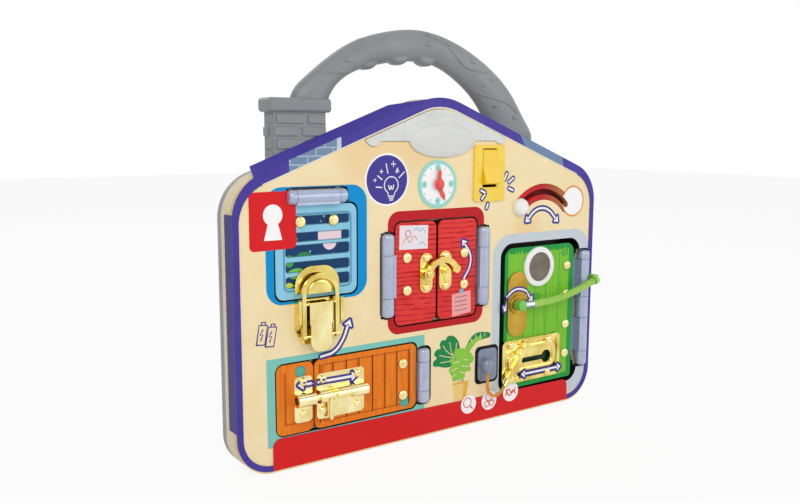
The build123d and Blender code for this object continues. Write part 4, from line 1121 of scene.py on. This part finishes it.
def arrowHead(x, z, dx, dz, size):
    span = math.hypot(dx, dz)
    dx, dz = dx / span, dz / span
    wide = size * arrowSettings["wide"]
    return [(x + dx * size, z + dz * size), (x - dz * wide, z + dx * wide), (x + dz * wide, z - dx * wide)]


def grown(points, more):
    # the same outline moved outwards all round, corners cut square
    spread = arrowSettings["spread"]
    cx = sum(point[0] for point in points) / len(points)
    cz = sum(point[1] for point in points) / len(points)
    loop = []
    for x, z in points:
        span = math.hypot(x - cx, z - cz)
        ux, uz = (x - cx) / span, (z - cz) / span
        for side in (-1, 1):
            loop.append((x + (ux - side * uz * spread) * more, z + (uz + side * ux * spread) * more))
    return loop


def arrow(name, line, heads, body="board", front=-0.03, size=4.4, half=0.95, edge=1.5):
    stroke(name + "Edge", [line], half + edge, "purple", body, front)
    stroke(name, [line], half, "white", body, front - arrowSettings["line"])
    for number, (tip, back) in enumerate(heads):
        (x, z), (backX, backZ) = line[tip], line[back]
        points = arrowHead(x, z, x - backX, z - backZ, size)
        outline(f"{name}HeadEdge{number}", [grown(points, edge)], "purple", body,
                front - arrowSettings["headEdge"])
        outline(f"{name}Head{number}", [points], "white", body, front - arrowSettings["head"])


def makeBadges():
    # red label on the eaves, bare but for a keyhole; it is stuck on the wall only
    lip = roundedLoop(((-122.9, 187.1), (-149.9, 186.8), (-149.9, 155.2), (-122.9, 155.7)), 3.4, 7)
    outline("eavesLabel", [lip], "red", front=-0.10)
    hole = arc(-136.4, 175.0, 7.0, -58, 238, 22) + [(-143.0, 158.5), (-129.8, 158.5)]
    outline("labelKeyhole", [hole], "white", front=-0.14)
    # lamp badge
    dots("lampBadgeRim", [(-46.9, 195.5, 18.7)], "white")
    dots("lampBadge", [(-46.9, 195.5, 17.3)], "purple", front=-0.06)
    stroke("bulbGlass", [arc(-43.4, 191.6, 5.9, -58, 238, 20)], 0.42, "white", front=-0.10)
    stroke("bulbFoot", [[(-46.2, 186.4), (-45.9, 184.0)], [(-40.4, 186.6), (-40.8, 184.2)],
                        [(-45.6, 183.6), (-41.0, 183.9)], [(-45.2, 182.2), (-41.4, 182.5)],
                        [(-44.6, 180.9), (-42.2, 181.1)]], 0.42, "white", front=-0.10)
    stroke("bulbWire", [[(-45.6, 191.4), (-44.6, 188.6), (-43.6, 190.8), (-42.6, 188.7), (-41.4, 191.6)]],
           0.4, "white", front=-0.10)
    stroke("badgeRays", [[(-56.2, 190.6), (-51.6, 190.2)], [(-54.9, 198.4), (-51.4, 195.8)],
                         [(-47.8, 206.6), (-46.3, 200.2)], [(-39.4, 200.6), (-38.0, 203.4)],
                         [(-36.6, 196.8), (-32.2, 200.6)]], 0.45, "white", front=-0.10)
    sparks = []
    for x, z, reach in ((-41.6, 206.4, 1.9), (-37.9, 201.4, 1.2), (-51.8, 201.4, 1.3), (-57.2, 195.4, 1.0)):
        sparks += [[(x - reach, z), (x + reach, z)], [(x, z - reach), (x, z + reach)]]
    stroke("badgeSparks", sparks, 0.32, "white", front=-0.10)
    # bare disc by the slider, cut away round the end of the slot, where the knob's stem runs
    slotCentre = arcSlot["x"], arcSlot["z"]
    disc = arc(140.1, 172.5, 12.9, 188.5, 519.5, 60) + arc(*slotCentre, 37.1, 53, 42, 5)
    disc += arc(131.64, 170.08, 2.6, 22, -118, 8) + arc(*slotCentre, 31.9, 42, 47.6, 4)
    outline("roundBadge", [disc], "white", front=-0.14)
    stroke("roundBadgeLine", [arc(140.1, 172.5, 12.2, 192, 516, 60)], 0.62, "orange", front=-0.18,
           smooth=False, squared=True)
    # battery sign
    cells = []
    for x, z, lean in ((-146.4, 97.0, 2.2), (-140.0, 95.0, 2.6)):
        cells.append([(x - 3.4, z - 6.8), (x + 2.6, z - 7.4), (x + 2.6 + lean, z + 5.6),
                      (x - 3.4 + lean, z + 6.2), (x - 3.4, z - 6.8)])
        cells.append([(x - 1.6 + lean, z + 6.2), (x - 1.4 + lean, z + 8.0), (x + 1.2 + lean, z + 7.8),
                      (x + 1.0 + lean, z + 6.0)])
        cells.append([(x + 1.4, z + 2.8), (x - 0.8, z - 0.6), (x + 1.4, z - 0.2), (x - 0.2, z - 4.0)])
    stroke("batterySign", cells, 0.5, "purple", smooth=False)
    # round signs on the band
    dots("bandSigns", [(30.1, 17.0, 7.6), (51.3, 16.4, 7.8), (74.3, 19.6, 8.2)], "white", front=-0.64)
    dots("bandSignLines", [(28.9, 18.4, 4.2), (51.3, 19.4, 3.8), (49.0, 13.6, 2.6), (54.0, 13.9, 2.6)], "red",
         front=-0.68, ring=0.7)
    stroke("bandSignDrawn", [[(31.8, 15.6), (34.0, 12.8)],
                             [(69.0, 17.6), (72.0, 21.8), (75.6, 18.4), (79.6, 22.2)],
                             [(69.4, 21.6), (73.4, 16.6), (77.0, 20.4), (79.4, 17.2)]], 0.5, "red",
           front=-0.68)


def makeArrows():
    arrow("latchArrow", [(-101.5, 75.4), (-91.5, 77.4), (-84.4, 84.6), (-79.9, 94.6)], endHead, front=-0.05)
    arrow("shutterArrow", [(24.1, 118.0), (29.8, 127.5), (29.9, 136.5), (24.3, 144.8)], endHead,
          "right_shutter", -0.05, size=3.8, half=0.8, edge=1.3)
    arrow("arcArrow", [(89.9, 160.4), (97.0, 166.4), (104.8, 168.2), (113.0, 165.8), (120.4, 158.9)],
          bothHeads, front=-0.05, size=4.2)
    for where, front, rays in (
            ("Wall", -0.05, [[(63.9, 192.8), (65.8, 197.2)], [(68.4, 190.4), (72.6, 193.4)],
                             [(68.4, 185.5), (72.3, 183.9)], [(45.6, 171.0), (46.8, 174.0)]]),
            ("Plate", -1.55, [[(38.8, 184.8), (42.4, 183.2)], [(39.6, 178.6), (42.2, 181.2)]])):
        stroke("switchRaysEdge" + where, rays, 2.1, "purple", front=front)
        stroke("switchRays" + where, rays, 0.85, "white", front=front - arrowSettings["line"])
    arrow("boltArrowPlate", [(-104.8, 58.0), (-96.0, 57.9), (-77.6, 57.7)], endHead, "cabinet", -3.1)
    arrow("boltArrowKeeper", [(-110.2, 58.1), (-113.0, 58.1), (-116.0, 58.2)], endHead, "board", -3.1)
    arrow("chainArrow", [(87.6, 32.8), (106.0, 32.8), (124.6, 32.8)], bothHeads, "door", -2.75, size=4.0)
    arrow("turnArrow", [(65.2, 91.0), (68.4, 98.8), (74.6, 103.4), (81.4, 104.0), (89.1, 101.0),
                        (94.2, 95.2)],
          bothHeads, "door", -2.75, size=4.0, half=0.8, edge=1.3)


def makeShutterPaper():
    outline("pinnedPaper", [[(-36.4, 144.6), (-36.0, 162.2), (-10.4, 161.2), (-10.8, 143.8)]], "paper",
            "left_shutter", -0.05)
    stroke("paperLines", [[(-33.4, 148.4), (-30.0, 152.6), (-27.0, 149.4), (-23.4, 153.8), (-20.6, 150.8)]],
           0.3, "orange", "left_shutter", -0.10)
    stroke("paperSun", [arc(-28.4, 155.8, 2.4, 0, 337.5, 16)], 0.28, "red", "left_shutter", -0.10)
    stroke("paperWaves", [[(-23.4, 157.8), (-20.6, 159.4), (-18.2, 157.2), (-15.4, 158.8), (-13.0, 155.6)],
                          [(-19.0, 147.2), (-16.2, 149.0), (-13.4, 147.0)]], 0.28, "skyBlue", "left_shutter",
           -0.10)
    outline("pinkNote", [[(13.0, 89.2), (12.6, 106.6), (30.8, 108.2), (31.4, 91.2)]], "pink", "right_shutter",
            -0.05)
    rows = []
    for z in (103.8, 100.4, 97.0, 93.6):
        rows.append([(15.6 + step * 1.9, z + (0.2 if step % 2 else -0.15) + step * 0.1) for step in range(7)])
    stroke("noteScribble", rows, 0.24, "pencil", "right_shutter", -0.10)
    dots("notePin", [(21.8, 108.4, 2.0)], "pin", "right_shutter", -0.16)


def leafShape(x, z, length, wide, turn, cuts):
    # a broad split leaf; turn is the way its tip points, in degrees
    ux, uz = math.cos(math.radians(turn)), math.sin(math.radians(turn))
    loop = []
    rows = 2 * cuts + 1
    for side in (1, -1):
        steps = range(rows + 1) if side == 1 else range(rows, -1, -1)
        for step in steps:
            along = length * (0.02 + 0.96 * step / rows)
            swell = math.sin(math.pi * min(1.0, (0.12 + 0.88 * step / rows) ** 0.8)) ** 0.6
            reach = wide * swell * (0.72 if step % 2 == 0 and 0 < step < rows else 1.0)
            loop.append((x + ux * along - uz * reach * side, z + uz * along + ux * reach * side))
    return loop


def makePlant():
    outline("plantPot", [[(14.2, 36.2), (30.0, 36.0), (27.4, 20.4), (16.6, 20.0)]], "pot", front=-0.05)
    outline("plantPotShade", [[(25.4, 35.6), (30.0, 36.0), (27.4, 20.4), (24.4, 20.2)]], "potShade",
            front=-0.08)
    outline("plantPotRim", [[(14.2, 36.4), (14.6, 35.0), (29.8, 34.8), (30.0, 36.2)]], "potShade",
            front=-0.09)
    stroke("plantStems", [[(20.0, 36), (19.6, 42), (20.6, 48)],
                          [(22.6, 36), (23.6, 44), (27.0, 58), (31.0, 63)],
                          [(24.8, 36), (24.2, 42), (21.4, 50)]], 0.4, "stem", front=-0.05)
    outline("plantLeafDark", [[(17.4, 53.4), (20.6, 59.0), (20.6, 66.0), (17.6, 71.6), (12.8, 74.6),
                               (8.6, 74.2), (6.6, 71.8), (4.0, 72.2), (1.4, 69.0), (2.0, 66.0), (-1.6, 65.4),
                               (-3.8, 61.6), (-1.6, 59.0), (-4.6, 56.4), (-4.6, 53.4), (0.4, 52.0),
                               (6.0, 50.4), (12.0, 50.2)]],
            "darkGreen", front=-0.08, smooth=True)
    outline("plantLeafSide", [[(27.6, 59.0), (29.6, 67.4), (35.8, 72.8), (44.6, 73.2), (52.0, 69.8),
                               (45.6, 67.6), (38.6, 66.6), (33.0, 62.0)]], "darkGreen", front=-0.09,
            smooth=True)
    outline("plantLeafSideLow", [[(27.6, 58.6), (28.2, 64.0), (34.0, 68.6), (43.4, 68.8), (38.0, 66.4),
                                  (33.0, 62.0)]],
            "leafGreen", front=-0.12, smooth=True)
    outline("plantLeafLight", [leafShape(27.0, 60.0, 26.0, 12.0, 242, 3)], "leafGreen", front=-0.14,
            smooth=True)
    stroke("darkLeafVeins", [[(17.0, 54.6), (12.8, 62.0), (11.0, 69.6)],
                             [(14.6, 58.4), (8.6, 62.6), (4.6, 67.6)],
                             [(15.8, 56.6), (8.6, 58.4), (1.4, 60.6)],
                             [(16.6, 55.2), (9.0, 54.6), (2.4, 54.8)],
                             [(15.0, 58.2), (17.2, 64.0), (17.6, 68.0)]], 0.34, "cream", front=-0.12)
    stroke("lightLeafVeins", [[(29.0, 53.0), (24.6, 53.8)], [(29.8, 47.6), (23.8, 48.8)],
                              [(27.0, 42.6), (21.8, 44.2)], [(15.4, 52.6), (20.6, 53.2)],
                              [(13.6, 46.8), (18.6, 47.8)], [(13.8, 42.0), (17.2, 43.0)]],
           0.42, "cream", front=-0.18)
    stroke("sideLeafVeins", [[(31.6, 69.4), (33.4, 66.4)], [(36.4, 72.0), (37.4, 68.6)],
                             [(41.6, 72.6), (41.8, 69.4)], [(46.4, 71.8), (45.6, 69.4)]], 0.34, "cream",
           front=-0.16)


makeBadges()
makeArrows()
makeShutterPaper()
makePlant()
print("graphics laid down")


# raised detail on the moulded and pressed parts
vineSettings = {
    "faces": [("Front", -60, 1), ("Back", 90, -1)],  # where a look at the face starts, and its way
    "half": 0.95,
    "sunk": 0.2,
    "budShape": (1.25, 0.8, 0.38),  # along, up and out of the surface
    "lines": [
        [(-108.2, 263.8), (-102.5, 266.4), (-96.9, 267.6), (-90.0, 267.8), (-83.4, 268.5), (-76.0, 269.6),
         (-69.9, 271.0)],
        [(-5.7, 298.4), (2.0, 297.0), (8.0, 294.4), (15.0, 289.0), (22.3, 282.1), (29.0, 277.2),
         (36.9, 275.2), (46.0, 274.6), (51.9, 274.2)],
        [(34.8, 260.4), (44.0, 258.4), (54.8, 255.6), (66.0, 253.0), (76.0, 250.0), (82.0, 244.6)]],
    "buds": [(-95.3, 274.0, 2.8), (-74.2, 277.2, 2.0), (36.8, 281.8, 2.2), (13.6, 293.6, 2.4),
             (47.1, 265.0, 1.8), (60.1, 249.6, 2.4), (80.0, 241.0, 2.4), (56.0, 268.8, 1.9),
             (-6.0, 292.4, 2.4), (-66.0, 267.0, 1.8)],
}
brickSettings = {
    "rows": [(234.2, 240.2, ((-128.6, -108.8), (-105.0, -92.0))),
             (226.0, 231.9, ((-130.2, -113.0), (-109.6, -91.8))),
             (217.6, 223.8, ((-128.6, -108.8), (-105.0, -97.0))), (209.6, 215.4, ((-130.2, -113.0),))],
    "sideRows": [(234.2, 240.2, (9.4, 16.0)), (226.0, 231.9, (14.0, 21.4)), (217.6, 223.8, (9.4, 18.0))],
    "end": (11.0, 19.0, 234.2, 240.2),
    "front": 8.2, "back": 22.2, "left": -131.0, "right": -91.0,  # faces of the chimney
    "proud": 1.0,
    "sunk": 0.6,
    "rounding": 0.5,
}


def surfaceFinder(names):
    corners, faces = [], []
    for name in names:
        start = len(corners)
        mesh = nodes[name].data
        corners += [vertex.co.copy() for vertex in mesh.vertices]
        faces += [[start + index for index in face.vertices] for face in mesh.polygons]
    return BVHTree.FromPolygons(corners, faces)


def newPiece(name, shape, material, body, smooth=True):
    return ownPiece(makeMesh(name, shape, material, smooth), body)


def makeVines():
    finder = surfaceFinder(("handle_front", "handle_back"))
    moulded = materialOf("handle_front")
    for face, start, way in vineSettings["faces"]:
        for number, line in enumerate(vineSettings["lines"]):
            spots = []
            for x, z in line:
                hit = finder.ray_cast(place(x, start, z), Vector((0, way, 0)))[0]
                if hit is not None:
                    spots.append(hit + Vector((0, way * vineSettings["sunk"] * 0.001, 0)))
            vine = tubeAlong(f"handleVine{face}{number}", spots, vineSettings["half"] * 0.001, 6)
            vine.data.materials.append(moulded)
            ownPiece(vine, "board")
        shape = bmesh.new()
        for x, z, radius in vineSettings["buds"]:
            hit = finder.ray_cast(place(x, start, z), Vector((0, way, 0)))
            if hit[0] is None:
                continue
            bud = bmesh.ops.create_uvsphere(shape, u_segments=20, v_segments=10,
                                            radius=radius * 0.001)["verts"]
            bmesh.ops.scale(shape, vec=vineSettings["budShape"], verts=bud)
            bmesh.ops.transform(shape, matrix=standing(*hit[:2]), verts=bud)
        newPiece("handleBuds" + face, shape, moulded, "board")


def makeBricks():
    moulded = materialOf("handle_front")
    front, back, left, right, proud, sunk = (
        brickSettings[key] for key in ("front", "back", "left", "right", "proud", "sunk"))
    rounding = brickSettings["rounding"] * 0.001
    shape = bmesh.new()
    boxes = []
    for low, high, spans in brickSettings["rows"]:
        for x0, x1 in spans:
            boxes.append(((x0, front - proud, low), (x1, front + sunk, high)))
            boxes.append(((x0, back - sunk, low), (x1, back + proud, high)))
    for low, high, (y0, y1) in brickSettings["sideRows"]:
        boxes.append(((left - proud, y0, low), (left + sunk, y1, high)))
    y0, y1, low, high = brickSettings["end"]
    boxes.append(((right - sunk, y0, low), (right + proud, y1, high)))
    for lowCorner, highCorner in boxes:
        near, far = place(*lowCorner), place(*highCorner)
        block = bmesh.ops.create_cube(shape, size=1.0)["verts"]
        bmesh.ops.scale(shape, vec=far - near, verts=block)
        bmesh.ops.translate(shape, vec=(near + far) / 2, verts=block)
        edges = list({edge for vertex in block for edge in vertex.link_edges})
        bmesh.ops.bevel(shape, geom=edges, offset=rounding, segments=2, profile=0.5, affect="EDGES",
                        material=-1)
    newPiece("chimneyBricks", shape, moulded, "board", smooth=False)


hubSettings = {"foot": 4.3, "top": 3.6, "high": 0.9, "rounding": 0.4, "front": -3.6}


def makeHub():
    shape = bmesh.new()
    foot, top, high, rounding = (hubSettings[key] * 0.001 for key in ("foot", "top", "high", "rounding"))
    bmesh.ops.create_cone(shape, cap_ends=True, segments=40, radius1=foot, radius2=top, depth=high)
    rim = [edge for edge in shape.edges if all(vertex.co.z > 0.4 * high for vertex in edge.verts)]
    bmesh.ops.bevel(shape, geom=rim, offset=rounding, segments=3, profile=0.5, affect="EDGES", material=-1)
    spot = place(clockSpot[0], hubSettings["front"], clockSpot[1])
    bmesh.ops.transform(shape, matrix=standing(spot, Vector((0, -1, 0))), verts=shape.verts)
    newPiece("handHub", shape, materialOf("minute_hand"), "minute_hand")


ridgeSettings = {"left": 69.4, "right": 121.6, "low": 36.4, "high": 55.4, "corner": 7.0, "half": 2.3,
                 "front": -1.35}


def makeChainRidge():
    corner = ridgeSettings["corner"]
    x0, x1 = ridgeSettings["left"] + corner, ridgeSettings["right"] - corner
    z0, z1 = ridgeSettings["low"] + corner, ridgeSettings["high"] - corner
    line = roundedLoop(((x1, z1), (x0, z1), (x0, z0), (x1, z0)), corner, 10)
    shape = drawnShape(makeCurve("chainRidgeLine", [line], "POLY", ridgeSettings["half"], 4, closed=True))
    bmesh.ops.scale(shape, vec=(1, 1, 0.5), verts=shape.verts)
    for vertex in shape.verts:
        x, z, out = vertex.co
        vertex.co = place(x, ridgeSettings["front"] - out, z)
    bmesh.ops.recalc_face_normals(shape, faces=shape.faces)
    newPiece("chainPlateRidge", shape, materialOf("chain_plate"), "door")


longEdge = 0.0008  # metres; longer edges are cut, so that the arrow can bend
liftOff = 0.00006


def drape(prefix, front, names):
    # presses a printed arrow onto what lies under it
    finder = surfaceFinder(names)
    level = place(0, front, 0).y
    for piece in [made for made in bpy.data.objects if made.name.startswith(prefix)]:
        shape = bmesh.new()
        shape.from_mesh(piece.data)
        bmesh.ops.triangulate(shape, faces=shape.faces)
        long = [edge for edge in shape.edges if edge.calc_length() > longEdge]
        bmesh.ops.subdivide_edges(shape, edges=long, cuts=3, use_grid_fill=True)
        bmesh.ops.triangulate(shape, faces=shape.faces)
        for vertex in shape.verts:
            hit = finder.ray_cast(vertex.co - Vector((0, 0.05, 0)), Vector((0, 1, 0)))[0]
            if hit is not None:
                vertex.co.y = hit.y - liftOff + vertex.co.y - level
        shape.to_mesh(piece.data)
        shape.free()


drape("turnArrow", -2.75, ("green_door", "lock_plate"))
drape("boltArrowPlate", -3.1, ("bolt_plate",))
drape("boltArrowKeeper", -3.1, ("bolt_keeper",))
makeVines()
makeBricks()
makeHub()
makeChainRidge()
print("raised detail made")
